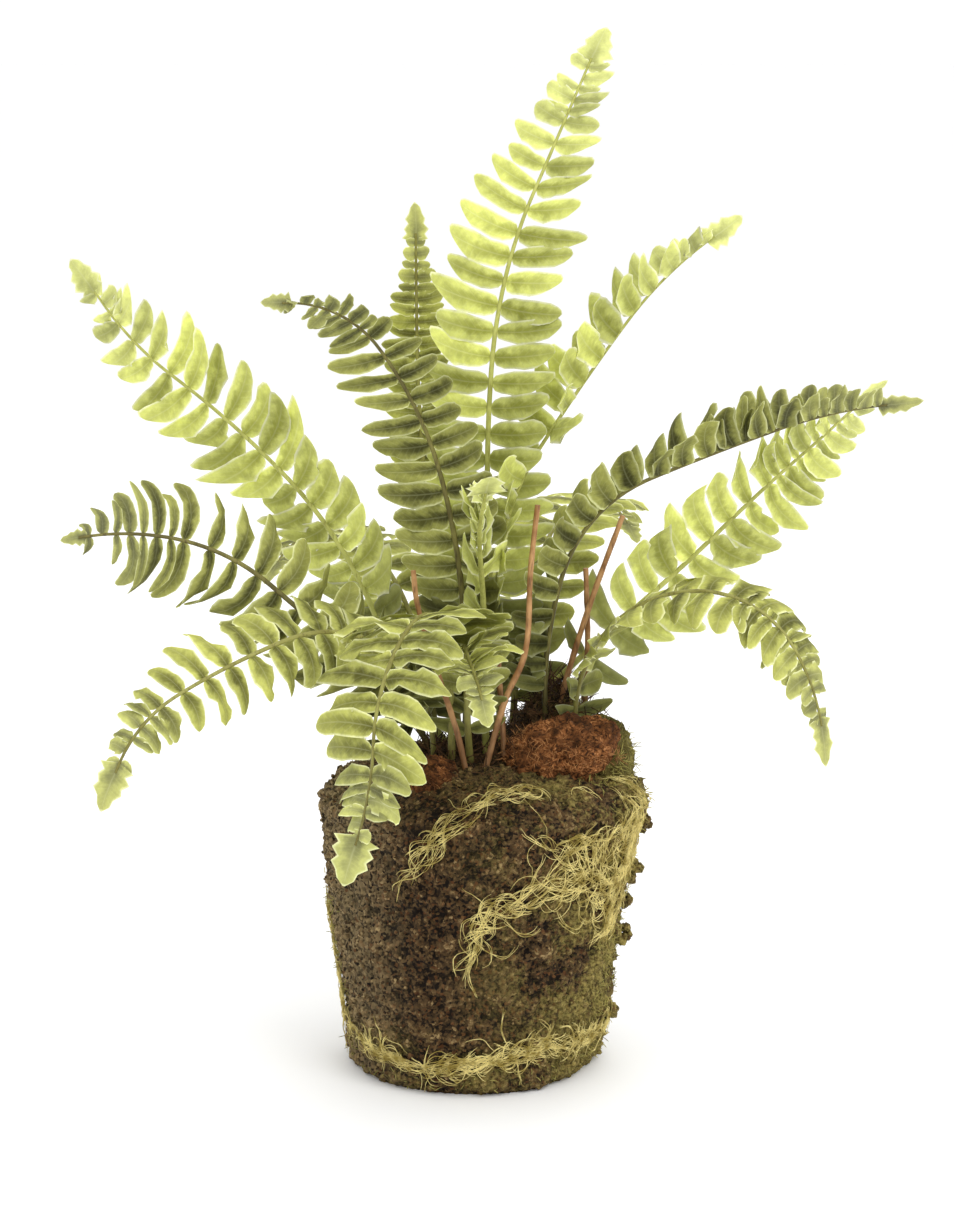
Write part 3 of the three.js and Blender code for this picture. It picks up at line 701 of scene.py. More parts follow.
# %% Stalk material
def stalk_material(name, base, light, streak_and_shade):
    """Smooth stalk skin with fine streaks that run lengthwise. Shade is painted onto its foot."""
    skin = Finish(name)
    stretched = skin.add("Mapping", {"Vector": skin.place, "Scale": (1, 1, 0.18)}).outputs[0]
    streaks = skin.noise(900, place=stretched)
    patches = skin.noise(90)
    colour = skin.mix(skin.ramp(patches, 0.35, 0.65), base, light)
    colour = skin.mix(skin.ramp(streaks, 0.5, 0.75, 0, 0.7), colour, streak_and_shade)
    height = skin.split(skin.place)[2]
    # Painted shade: the stalk darkens below 0.19 m, down in the crown where the fronds shade its foot.
    colour = skin.mix(skin.ramp(height, 0.19, 0.13, 0, 0.6), colour, streak_and_shade)
    return skin.done(skin.skin(colour, 0.5, skin.bump(streaks, 0.0002, 0.6), 0.25))


# Painted light and shade, as with the leaves: the bright and dark stalks are the middle stalk painted
# lighter and darker.
STALKS = {
    BRIGHT: stalk_material("bright_stalk", paint(158, 160, 80), paint(182, 184, 100), paint(124, 120, 56)),
    MIDDLE: stalk_material("middle_stalk", paint(126, 122, 60), paint(152, 150, 82), paint(90, 80, 38)),
    DARK: stalk_material("dark_stalk", paint(92, 86, 44), paint(124, 118, 62), paint(60, 50, 28)),
}
print("stalk finishes:", ", ".join(STALKS))

# %% [markdown]
# ## Growing a leaflet
#
# A copy of the flat leaflet is bent onto its frond. Its centre line leaves the stalk, lifts
# and droops again, and curves a little towards the frond's tip. Across that line the blade is
# cupped, its rim waves, and it twists a little. Bending the copy's vertices in code was chosen
# over modifiers, because each leaflet then gets its own curl and still touches its stalk.

# %% Bend a leaflet into place
BEND_STEPS = 20
FOOT_DEPTH = 0.7  # of the stalk's radius: where a leaflet's centre line starts
CURL_FROM = 0.55  # of the leaflet's length
WAVE_TURN = 9.5  # radians of wave along a rim
SCALLOP_TURN, SCALLOP_DEPTH = 12, 0.07


def bend_blade(template, leaf, cup, wave, twist, curl):
    """The places of the template's vertices, bent onto the frond, in metres."""
    (point, along, side, normal), t = leaf["station"]
    outward = side * leaf["hand"]
    centre = point + outward * (stalk_radius(t) * FOOT_DEPTH)
    frames = []
    for step in range(BEND_STEPS + 1):
        u = step / BEND_STEPS
        bend = leaf["lift"] - 2 * leaf["droop"] * u - curl * max(u - CURL_FROM, 0) ** 2
        sweep = leaf["sweep"] + leaf.get("curve", 0) * (u - 0.4)
        reach = outward * math.cos(bend) + normal * math.sin(bend)
        upper = normal * math.cos(bend) - outward * math.sin(bend)
        direction = reach * math.cos(sweep) + along * math.sin(sweep)
        across = along * math.cos(sweep) - reach * math.sin(sweep)
        turn = Matrix.Rotation(twist * u * leaf["hand"], 3, direction)
        frames.append((*centre, *(turn @ across), *(turn @ upper), *direction))
        centre = centre + direction * (leaf["length"] / BEND_STEPS)
    frames = np.array(frames)

    flat = place_of(template)
    u, v, depth = flat[:, 0], flat[:, 1], flat[:, 2]
    frame_at = np.array([np.interp(u * BEND_STEPS, range(BEND_STEPS + 1), column) for column in frames.T]).T
    width = leaf["width"]
    rim = (2 * v) ** 2
    phase = 6.28 * (wobble(leaf["seed"] * 1.7) + 1)
    lift = cup * width * rim + wave * width * rim * np.sin(WAVE_TURN * u + phase + np.sign(v) * 1.3)
    lift += depth / MM
    # The outline: broader at its foot or its end, scalloped, and longer on its leading side.
    scallops = SCALLOP_DEPTH * np.sin(SCALLOP_TURN * u + 2 * phase + np.sign(v))
    broad = 1 + leaf.get("taper", 0) * (0.5 - u) + scallops
    aside = v * width * broad
    ahead = leaf.get("skew", 0) * aside * u**2
    places = frame_at[:, 0:3] + frame_at[:, 3:6] * aside[:, None] + frame_at[:, 6:9] * lift[:, None]
    places += frame_at[:, 9:12] * ahead[:, None]
    return places * MM


def set_tone(piece, chance, on_frond):
    """Writes a leaflet's own chance number and its place on the frond into its second UV map."""
    layer = piece.data.uv_layers["tone"]
    layer.data.foreach_set("uv", np.tile([chance, on_frond], len(layer.data)))


print("a leaflet bends in", BEND_STEPS, "steps")


# %% Lay a stalk along a line
def lay_stalk(points, radii, flatness, sides, normals):
    """A copy of the unit stalk laid along points (millimetres), with a radius at each."""
    stalk = copy_of(stalk_template)
    flat = place_of(stalk)
    rank = np.rint(flat[:, 2] * STALK_RINGS).astype(int)
    points, radii, sides, normals = (np.array(values)[rank] for values in (points, radii, sides, normals))
    places = points + sides * (flat[:, 0] * radii)[:, None]
    places += normals * (flat[:, 1] * radii * flatness)[:, None]
    move_to(stalk, places * MM)
    return stalk


def frond_stalk(frond, spine):
    """A frond's stalk, from inside the soil to inside the terminal leaflet."""
    end = 1 - 0.75 * TIP_LEAFLET_LENGTH / frond["length"]
    sunk = PLANT_DEPTH / frond["length"]
    points, radii, sides, normals = [], [], [], []
    for ring in range(STALK_RINGS + 1):
        t = mix(-sunk, end, ring / STALK_RINGS)
        point, along, side, normal = spine.at(max(t, 0))
        if t < 0:
            point = point + along * (t * frond["length"])
        points.append(point)
        radii.append(stalk_radius(max(t, 0)))
        sides.append(side)
        normals.append(normal)
    return lay_stalk(points, radii, STALK_FLATNESS, sides, normals)


print("a stalk is laid over", STALK_RINGS + 1, "points")


# %% [markdown]
# ## Assemble the fronds
#
# For each frond, its leaflets are copied, bent and joined to its stalk, and the terminal
# leaflet closes the tip. The joined piece stands for the plain measured frond and takes that
# frond's finish. A frond's habit says how much its leaflets cup, wave, twist and curl: young
# ones are nearly flat and old ones curl.

# %% The habit of each frond
HABIT_KEYS = (
    "cup", "wave", "twist", "curl", "curve", "taper", "skew", "dense_from", "low_pairs", "tip", "slim",
)
# dense_from: from this share of the leafy part on, small leaflets also grow between the pairs.
# low_pairs: small shaded pairs on the bare foot of the stalk. tip: length and width of the
# terminal leaflet. slim: the outer leaflets' width against the inner ones'.
HABIT_VALUES = {
    "frond_tall": (-0.08, 0.11, 0.15, 0.7, 0.35, 0.0, 1.5, 0.9, 5, (21, 18), 1),
    "frond_right_upper": (-0.10, 0.13, 0.3, 1.0, 0.4, -0.1, 1.5, 0.9, 5, (20, 13), 1.05),
    "frond_back_small": (-0.06, 0.10, 0.3, 0.6, 0.4, 0.5, 0.5, 0.3, 3, (18, 12), 0.9),
    "frond_arching": (-0.12, 0.15, 0.35, 1.8, 0.4, 0.2, 1.1, 0.76, 5, (13, 9), 0.72),
    "frond_left_upper": (-0.09, 0.13, 0.25, 0.9, 0.45, -0.3, 1.8, 0.93, 4, (19, 17), 0.9),
    "frond_left_middle": (-0.16, 0.18, 1.1, 2.8, 1.0, 0.1, 1.2, 0.7, 3, (12, 8), 0.6),
    "frond_left_lower": (-0.12, 0.18, 0.6, 2.2, 0.5, 0.3, 1.0, 0.8, 3, (21, 16), 0.8),
    "frond_front_left": (-0.06, 0.2, 0.3, 1.3, 0.5, 0.2, 1.3, 0.86, 1, (21, 19), 0.95),
    "frond_front_centre": (-0.12, 0.14, 0.5, 0.8, 0.3, 0.2, 0.8, 0.6, 4, (17, 17), 0.9),
    "frond_front_short": (-0.08, 0.14, 0.6, 1.6, 0.3, 0.2, 0.8, 0.7, 2, (17, 13), 0.9),
    "frond_right_dark": (-0.14, 0.18, 0.7, 2.4, 0.5, 0.2, 1.2, 0.6, 3, (20, 9), 0.85),
    "frond_right_bright": (-0.08, 0.15, 0.5, 1.8, 0.55, -0.1, 1.4, 0.62, 1, (18, 12), 0.85),
    "frond_right_droop": (-0.12, 0.16, 0.6, 2.0, 0.5, 0.1, 1.1, 0.6, 1, (22, 14), 0.95),
    "frond_back_left": (-0.10, 0.12, 0.3, 1.4, 0.4, 0.1, 1.0, 0.9, 3, (18, 13), 0.9),
    "frond_back_right": (-0.10, 0.12, 0.3, 1.4, 0.4, 0.1, 1.0, 0.9, 3, (18, 13), 0.9),
}
HABITS = {name: dict(zip(HABIT_KEYS, values)) for name, values in HABIT_VALUES.items()}
# These fronds fold their leaflets up further than measured, in degrees.
EXTRA_LIFT = {
    "frond_front_centre": 50, "frond_front_short": 34, "frond_right_dark": 30, "frond_right_upper": 8,
}
# These fronds' terminal leaflets have turned their faces to the front.
FACING_FRONT = ("frond_front_left", "frond_right_dark", "frond_right_upper", "frond_arching")
# The small leaflets between the pairs and on the foot: their length and width against the
# usual ones', and where their chance numbers start.
BETWEEN_LENGTH, FOOT_LENGTH, EXTRA_WIDTH = 0.86, 1.1, 0.66
BETWEEN_SEED, FOOT_SEED = 500, 900


def extra_leaflets(frond, spine, habit, index):
    """The leaflets between the outer pairs and on the foot of the stalk."""
    leafy_part = (frond["bare"], leafy_end(frond))
    places = []
    for pair in range(frond["pairs"]):
        q = (pair + 1) / frond["pairs"]
        if q >= habit["dense_from"]:
            seed = BETWEEN_SEED + index * 17 + pair * 3.3
            places.append((mix(*leafy_part, q), q, seed, BETWEEN_LENGTH))
    for pair in range(habit["low_pairs"]):
        t = frond["bare"] * (0.4 + 0.6 * (pair + 0.3) / habit["low_pairs"])
        places.append((t, 0.0, FOOT_SEED + index * 13 + pair * 4.1, FOOT_LENGTH))
    extra = []
    for t, q, pair_seed, share in places:
        for hand in (1, -1):
            seed = pair_seed + hand
            sweep = math.radians(LEAFLET_SWEEP + 9 * wobble(seed + 3))
            length = frond["leaflet"] * leaflet_size(frond, q) * share * (1 + 0.12 * wobble(seed))
            lift = frond["lift"] + 16 * wobble(seed + 5)
            station = spine.at(t), t
            extra.append(leaflet_at(frond, station, q, hand, seed, sweep, length, lift, EXTRA_WIDTH))
    return extra


low_pairs = sum(habit["low_pairs"] for habit in HABITS.values())
print(len(HABITS), "habits, and", low_pairs, "small pairs on the stalks' feet")

# %% Grow every frond
TIP_BEND = (-0.06, 0.06, 0.1, 0.4)  # cup, wave, twist and curl of a terminal leaflet
TIP_TONE = 0.6


def vary(leaf, habit, chance):
    """Gives a leaflet its own outline, size and sweep, and gives back its four bends."""
    leaf["curve"] = habit["curve"] * (1 + 0.5 * wobble(leaf["seed"] + 11))
    leaf["taper"] = habit["taper"] + chance.gauss(0, 0.16)
    leaf["skew"] = habit["skew"] * chance.uniform(0.2, 1.6)
    slim = mix(1, habit["slim"], smooth_step(leaf["q"], 0.35, 0.65))
    leaf["width"] *= slim * chance.uniform(0.88, 1.12)
    leaf["length"] *= chance.uniform(0.88, 1.08)
    leaf["sweep"] += math.radians(chance.gauss(0, 4))
    ranges = {"cup": (0.4, 1.6), "wave": (0.4, 1.6), "twist": (-1, 1.6), "curl": (0.1, 1.7)}
    return [habit[key] * chance.uniform(*limits) for key, limits in ranges.items()]


def terminal_leaflet(name, index, spine):
    """The last leaflet, which points along the stalk."""
    frond = FRONDS[name]
    length, width = HABITS[name]["tip"]
    point, along, side, normal = spine.at(leafy_end(frond))
    if name in FACING_FRONT:
        hand = along.cross(side).dot(normal)
        front = Vector((0, -1, 0.2))
        normal = (front - along * front.dot(along)).normalized()
        side = normal.cross(along) * hand
    tip = {
        "station": ((point, -side, along, normal), 1), "hand": 1, "seed": index, "length": length,
        "width": width, "sweep": 0, "lift": 0, "droop": 0.1, "curve": 0.1,
    }
    blade = copy_of(tip_template)
    move_to(blade, bend_blade(tip_template, tip, *TIP_BEND))
    set_tone(blade, TIP_TONE, 1)
    return blade


def grow_frond(name, index):
    frond, habit = FRONDS[name], HABITS[name]
    chance = random.Random(index)
    spine, leaflets = find_leaflets(name, index)
    stalk = frond_stalk(frond, spine)
    stalk.data.materials.append(STALKS[frond["slot"]])
    blades = []
    for leaf in leaflets + extra_leaflets(frond, spine, habit, index):
        bends = vary(leaf, habit, chance)
        leaf["lift"] += math.radians(EXTRA_LIFT.get(name, 0))
        blade = copy_of(leaflet_template)
        move_to(blade, bend_blade(leaflet_template, leaf, *bends))
        if leaf["hand"] > 0:
            blade.data.flip_normals()
        set_tone(blade, chance.random(), leaf["q"])
        blades.append(blade)
    blades.append(terminal_leaflet(name, index, spine))
    for blade in blades:
        blade.data.materials.append(LEAVES[frond["slot"]])

    piece = join_as("leafy_" + name, [stalk, *blades])
    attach(piece, "root")
    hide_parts(name)
    return piece, len(leaflets)


for index, name in enumerate(FRONDS):
    piece, count = grow_frond(name, index)
    print(f"{name}: {count} of {2 * FRONDS[name]['pairs']} leaflets, {len(piece.data.polygons)} faces")

# %% [markdown]
# ## The soil
#
# Bare potting soil is a mass of crumbs a few millimetres across, held by fine roots. Its
# outline is as rough as its face, so a picture or a bump texture on a smooth tub wouldn't do.
# A cylinder is closed at both ends, subdivided and laid on the soil's surface. A remesh then
# gives it even cells about a millimetre wide, and three displacements roughen it: lumps,
# crumbs and grains.

# %% Model the soil
SOIL_SIDES = 72
SOIL_CELL = 1.1

deselect_all()
bpy.ops.mesh.primitive_cylinder_add(vertices=SOIL_SIDES, radius=1, depth=1, location=(0, 0, 0.5))
soil = bpy.context.object
soil.name = "soil_block"
bpy.ops.object.transform_apply(location=True, rotation=False, scale=False)
bpy.ops.object.mode_set(mode="EDIT")
for cut in (0.5, 0.02, 0.045, 0.1, 0.2, 0.3, 0.4, 0.6, 0.7, 0.8, 0.9):
    bpy.ops.mesh.select_all(action="SELECT")
    bpy.ops.mesh.bisect(plane_co=(0, 0, cut), plane_no=(0, 0, 1))
# Rings over the top and across the underside.
for level, shares in ((1.0, (0.94, 0.86, 0.7, 0.55, 0.4, 0.25, 0.12)), (0.0, (0.95, 0.5))):
    pick_corners(soil, lambda place: abs(place.z - level) < 0.01)
    reached = 1
    for share in shares:
        bpy.ops.mesh.inset(thickness=0, use_boundary=True)
        size = share / reached
        bpy.ops.transform.resize(value=(size, size, 1), center_override=(0, 0, level))
        reached = share
bpy.ops.object.mode_set(mode="OBJECT")
print("soil block:", len(soil.data.polygons), "faces")

# %% Lay the block on the soil's surface
SOIL_INSET = 0.6  # leaves room for the crumbs inside the measured size


def soil_place(place):
    """The surface point, in millimetres, for a point of the unit block."""
    angle = math.atan2(place[1], place[0])
    share = math.hypot(place[0], place[1])
    if place[2] < 0.999:
        height = place[2] * (BALL_HEIGHT - BALL_WEAR)
        point = soil_point(angle, height, -SOIL_INSET)
        worn = BALL_WEAR * (1 - min(height / BALL_WEAR, 1)) ** 2
        middle = BALL_LEAN * height / BALL_HEIGHT
        radius = (math.hypot(point.x - middle, point.y) - worn) * share
        return (middle + radius * math.cos(angle), radius * math.sin(angle), point.z)
    inward = (1 - share) * BALL_RIM_RADIUS
    return tuple(soil_point(angle, BALL_HEIGHT - BALL_WEAR + inward, -SOIL_INSET))


move_to(soil, np.array([soil_place(place) for place in place_of(soil)]) * MM)


def modify(piece, kind, **settings):
    """Adds a modifier to a piece and applies it."""
    modifier = piece.modifiers.new(kind.lower(), kind)
    for key, value in settings.items():
        setattr(modifier, key, value)
    pick_only(piece)
    bpy.ops.object.modifier_apply(modifier=modifier.name)


def displace(piece, kind, size, strength, middle=0.5, **settings):
    """Pushes the surface in and out by a solid texture and applies it."""
    texture = bpy.data.textures.new(f"{piece.name}_{kind.lower()}", kind)
    texture.noise_scale = size * MM
    for key, value in settings.items():
        setattr(texture, key, value)
    modify(
        piece, "DISPLACE", texture=texture, texture_coords="LOCAL", strength=strength * MM, mid_level=middle,
    )


modify(soil, "REMESH", mode="VOXEL", voxel_size=SOIL_CELL * MM)
smooth_places = place_of(soil)
displace(soil, "CLOUDS", size=14, strength=4.4, noise_depth=2)
displace(soil, "VORONOI", size=5, strength=-2.6, middle=0.35, distance_metric="DISTANCE")
displace(soil, "CLOUDS", size=2.2, strength=3.4, noise_depth=2)
print("soil:", len(soil.data.polygons), "faces")

# %% Keep the underside flat and mark the pits
places = place_of(soil)
places[:, 2] = np.maximum(places[:, 2], 0)
UNDERSIDE = 0.8  # millimetres: what lay below this before the roughening stays flat
CREST_DEPTH = 3  # millimetres from a pit to a crest

places[smooth_places[:, 2] < UNDERSIDE * MM, 2] = 0
move_to(soil, places)
middle_x = BALL_LEAN * MM * smooth_places[:, 2] / (BALL_HEIGHT * MM)


def out_from_axis(points):
    """How far points stand out sideways, and half of how far up."""
    return np.hypot(points[:, 0] - middle_x, points[:, 1]) + points[:, 2] * 0.5


def write_crest(piece, levels):
    """Stores a number from 0, a pit, to 1, a crest, at each vertex."""
    layer = piece.data.attributes.new("crest", "FLOAT", "POINT")
    layer.data.foreach_set("value", levels.astype(np.float32))


stands_out = out_from_axis(places) - out_from_axis(smooth_places)
crest = np.clip(stands_out / (CREST_DEPTH * MM) + 0.5, 0, 1)
write_crest(soil, crest)
for polygon in soil.data.polygons:
    polygon.use_smooth = True
print("crests from", round(float(crest.min()), 2), "to", round(float(crest.max()), 2))

# %% [markdown]
# ## Soil colour
#
# A crumb of soil is a warm grey-brown, and old roots and bark add straw-coloured specks. The displaced mesh
# carries how far each point stands out, so shade is painted into the pits, which are almost black, and light
# onto the crests. Green algae and fine moss have tinted the right side and the lower edge, and that tint is
# laid on by place and broken up by noise.

# %% Soil material
def soil_material():
    soil_look = Finish("dark_soil")
    mix_in, ramp = soil_look.mix, soil_look.ramp
    crest = soil_look.add("Attribute", attribute_name="crest").outputs["Fac"]
    grains = soil_look.noise(480, detail=5, roughness=0.8)
    clumps = soil_look.noise(150, roughness=0.6)
    patches = soil_look.noise(30, detail=5, roughness=0.65)
    cells = soil_look.add("TexVoronoi", {"Vector": soil_look.place, "Scale": 820}).outputs["Color"]
    crumb_shade, crumb_tint, crumb_height = soil_look.add("SeparateColor", {0: cells}).outputs

    # Pits are painted nearly black as shade and crests grey-brown as light, over the grains' own tone, and
    # the highest crumbs are straw-coloured.
    light = soil_look.times_add(grains, 1.1, soil_look.times(crest, 0.45))
    light = soil_look.times_add(clumps, 0.25, light)
    light = soil_look.times_add(crumb_shade, 0.5, light)
    colour = mix_in(ramp(light, 0.86, 1.4), paint(22, 14, 7), paint(96, 74, 46))
    colour = mix_in(ramp(light, 1.34, 1.66), colour, paint(164, 138, 94))
    colour = mix_in(ramp(crumb_tint, 0.82, 0.97, 0, 0.5), colour, paint(118, 76, 42))

    # Painted light: the left side, which the key lamp leaves darker, is painted paler, crumb by crumb.
    x, _, z = soil_look.split(soil_look.place)
    painted_light_left = soil_look.times(ramp(x, -0.02, -0.06, 0, 0.55), crumb_shade)
    colour = mix_in(painted_light_left, colour, paint(180, 160, 116))

    # Green on the right side, near the lower edge and on top.
    sides = soil_look.math("MAXIMUM", ramp(x, -0.02, 0.072), ramp(z, 0.036, 0.004, 0, 0.6))
    green = soil_look.math("MAXIMUM", sides, ramp(z, 0.118, 0.135, 0, 0.24))
    spread = ramp(soil_look.times_add(grains, 0.35, patches), 0.56, 0.8)
    green = soil_look.times(soil_look.times(green, spread), 0.8)
    moss_shade = mix_in(ramp(grains, 0.35, 0.65), paint(82, 72, 32), paint(186, 170, 94))
    colour = mix_in(green, colour, moss_shade)
    normal = soil_look.bump(soil_look.times_add(grains, 2, crumb_height), 0.0007, 0.9)
    return soil_look.done(soil_look.skin(colour, 0.92, normal, 0.2))


soil_finish = soil_material()
soil.data.materials.append(soil_finish)
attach(soil, "root")
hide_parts("root_ball")
print("soil finish:", soil_finish.name)

# %% [markdown]
# ## Crumbs
#
# Loose crumbs cling to the block, and the biggest stand out at its right side and make the
# outline knobbly. One small twenty-sided crumb is modelled and copied all over, each copy
# squashed and turned its own way. Each finds the nearest spot on the rough block and sinks in
# a little there. Six heaps of bigger crumbs make clods.

# %% Scatter the crumbs
CRUMB_COUNT = 2600
CLOD_CRUMBS = 26
# angle, height and radius of each clod, a bigger lump made of crumbs
CLODS = [(-2, 108, 5), (-8, 88, 6), (2, 72, 4.5), (-6, 59, 5.5), (-2, 22, 4), (128, 92, 6)]

deselect_all()
bpy.ops.mesh.primitive_ico_sphere_add(subdivisions=1, radius=1)
crumb_template = bpy.context.object
crumb_template.name = "crumb_template"
crumb_shape = place_of(crumb_template)
crumb_faces = [tuple(polygon.vertices) for polygon in crumb_template.data.polygons]


def many_copies(name, template_shape, template_faces, matrices):
    """One piece made of many small copies, each with its own place, turn and size."""
    corners, faces = [], []
    for number, matrix in enumerate(matrices):
        turn = np.array(matrix.to_3x3())
        corners.append(template_shape @ turn.T + np.array(matrix.translation))
        offset = number * len(template_shape)
        faces.extend(tuple(corner + offset for corner in face) for face in template_faces)
    mesh = bpy.data.meshes.new(name)
    mesh.from_pydata(np.concatenate(corners).tolist(), [], faces)
    piece = bpy.data.objects.new(name, mesh)
    bpy.context.collection.objects.link(piece)
    return piece


def any_way(chance):
    """A direction at random."""
    return Vector([chance.gauss(0, 1) for _ in range(3)]).normalized()


def scattered(chance, spot, sizes):
    """A copy's matrix at a spot in millimetres, turned at random."""
    about_x, about_y, about_z = (
        Matrix.Rotation(chance.uniform(0, 2 * math.pi), 4, axis) for axis in "XYZ"
    )
    scale = Matrix.Diagonal([size * MM for size in sizes] + [1])
    return Matrix.Translation(spot * MM) @ (about_x @ about_y @ about_z) @ scale


chance = random.Random(7)
crumbs = []
for _ in range(CRUMB_COUNT):
    height = chance.uniform(3, BALL_HEIGHT + 40)
    angle = chance.uniform(0, 2 * math.pi)
    size = chance.uniform(0.5, 1.2) if chance.random() < 0.9 else chance.uniform(1.2, 2.2)
    near = soil_point(angle, height)
    _, place, outward, _ = soil.closest_point_on_mesh(near * MM)
    spot = place / MM + outward * (size * chance.uniform(-0.2, 0.4))
    if spot.z > size:
        crumbs.append(scattered(chance, spot, [size * chance.uniform(0.6, 1.1) for _ in range(3)]))
for angle, height, radius in CLODS:
    for _ in range(CLOD_CRUMBS):
        around = any_way(chance)
        spot = side_point(math.radians(angle), height, radius * 0.15) + around * radius * 0.7
        crumbs.append(scattered(chance, spot, [radius * chance.uniform(0.22, 0.5) for _ in range(3)]))
crumb_piece = many_copies("soil_crumbs", crumb_shape, crumb_faces, crumbs)
write_crest(crumb_piece, np.repeat([chance.uniform(0.4, 1.0) for _ in crumbs], len(crumb_shape)))
crumb_piece.data.materials.append(soil_finish)
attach(crumb_piece, "root")
bpy.data.objects.remove(crumb_template)
print(len(crumbs), "crumbs,", len(crumb_piece.data.polygons), "faces")

# %% [markdown]
# ## Coir and the mossy shoulder
#
# Two rust-brown clumps of coir, the fibre of coconut husk, sit on top of the soil, and moss
# has grown over the shoulder at the right. Each is a sphere shaped to its measured solid and
# displaced until it looks torn from a mat.

# %% Fibrous and mossy materials
def fibre_material(name, dark, middle, light, scale):
    """Matted strands: painted shade between them, painted highlights where they catch the sun, and painted
    shade in patches.
    """
    mat = Finish(name)
    patches = mat.noise(scale * 0.16, detail=4, roughness=0.6)
    strands = mat.noise(scale, detail=4, roughness=0.7, distortion=1.5)
    colour = mat.mix(mat.ramp(strands, 0.36, 0.6), dark, middle)
    share = mat.times(mat.ramp(strands, 0.52, 0.72), mat.ramp(patches, 0.4, 0.6))
    colour = mat.mix(share, colour, light)
    colour = mat.mix(mat.ramp(patches, 0.62, 0.36, 0.0, 0.8), colour, dark)
    return mat.done(mat.skin(colour, 0.9, mat.bump(strands, 0.0012, 0.8), 0.15))


coir_finish = fibre_material(
    "rust_coir", paint(44, 26, 12), paint(148, 92, 50), paint(214, 156, 102), scale=380)
shoulder_finish = fibre_material(
    "dark_moss", paint(72, 62, 28), paint(128, 118, 60), paint(176, 164, 96), scale=480)

LUMP_INSET = 1.5
# name: slot, finish, roughness, and how far it leans up to the right
LUMPS = {
    "coir_clump_right": ("coir", coir_finish, 6.0, 0.22),
    "coir_clump_left": ("coir", coir_finish, 4.5, 0.1),
    "moss_shoulder": ("moss", shoulder_finish, 4.5, 0),
}
# name: middle and half sizes
LUMP_PLACES = {
    "coir_clump_right": ((38, -17, 143), (27, 18, 18)),
    "coir_clump_left": ((-19, -34, 133), (15, 14, 14)),
    "moss_shoulder": ((58, 5, 136), (14, 28, 20)),
}
for name, (slot_name, finish, rough, lean) in LUMPS.items():
    middle, half = LUMP_PLACES[name]
    deselect_all()
    bpy.ops.mesh.primitive_ico_sphere_add(
        subdivisions=5, radius=1, location=[value * MM for value in middle],
        scale=[(value - LUMP_INSET) * MM for value in half],
    )
    lump = bpy.context.object
    lump.name = "torn_" + name
    bpy.ops.object.transform_apply(location=True, rotation=False, scale=True)
    places = place_of(lump)
    places[:, 2] += lean * (places[:, 0] - middle[0] * MM)
    move_to(lump, places)
    displace(lump, "CLOUDS", size=11, strength=rough, noise_depth=2)
    displace(lump, "VORONOI", size=6, strength=-rough * 0.6, middle=0.35, distance_metric="DISTANCE")
    displace(lump, "CLOUDS", size=2.6, strength=rough * 0.8, noise_depth=3)
    for polygon in lump.data.polygons:
        polygon.use_smooth = True
    lump.data.materials.append(finish)
    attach(lump, "root")
    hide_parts(name)
    print(lump.name, len(lump.data.polygons), "faces")

# %% [markdown]
# ## Strands
#
# Moss and coir are thousands of fine threads. Each thread is drawn as an open curve with a
# round section, which is how Blender draws wire or string, and a whole bundle is turned into
# one closed mesh. The threads follow paths on the soil's surface, with a drift and a curl of
# their own, so that the bundle looks tangled rather than combed.

# %% Threads from curves
def thread_piece(name, threads, radius, finish, replaced=()):
    """Threads, each a list of points in millimetres, as one piece."""
    curve = bpy.data.curves.new(name, "CURVE")
    curve.dimensions = "3D"
    curve.bevel_depth = radius * MM
    curve.bevel_resolution = 0
    curve.use_fill_caps = True
    for points in threads:
        spline = curve.splines.new("POLY")
        spline.points.add(len(points) - 1)
        for number, (corner, point) in enumerate(zip(spline.points, points)):
            corner.co = (*(Vector(point) * MM), 1)
            end = min(number, len(points) - 1 - number) / (len(points) - 1)
            corner.radius = min(1, 0.45 + 2.2 * end)
    piece = bpy.data.objects.new(name, curve)
    bpy.context.collection.objects.link(piece)
    pick_only(piece)
    bpy.ops.object.convert(target="MESH")
    piece = bpy.context.object
    piece.data.materials.append(finish)
    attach(piece, "root")
    if replaced:
        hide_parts(*replaced)
    print(f"{name}: {len(threads)} threads, {len(piece.data.polygons)} faces")
    return piece


def thread_material(name, dark, light):
    """Dry threads: each stretch differs a little in colour."""
    thread = Finish(name)
    patches = thread.noise(160, roughness=0.6)
    fine = thread.noise(1500, detail=2)
    colour = thread.mix(thread.ramp(patches, 0.34, 0.62), dark, light)
    colour = thread.mix(thread.ramp(fine, 0.4, 0.75, 0, 0.35), colour, dark)
    return thread.done(thread.skin(colour, 0.75, thread.bump(fine, 0.0001, 0.5), 0.25))


# %% [markdown]
# ## Moss mats
#
# Sheet moss was wrapped round the ball and most of it has worn away. What is left is a
# straw-coloured net at the right front, a strand over the front rim, a band low down and a
# strip at the left edge. Threads set off along a mat's strands and wander. A few of them
# always share one path, as real moss does, and those cords leave gaps where the soil shows.

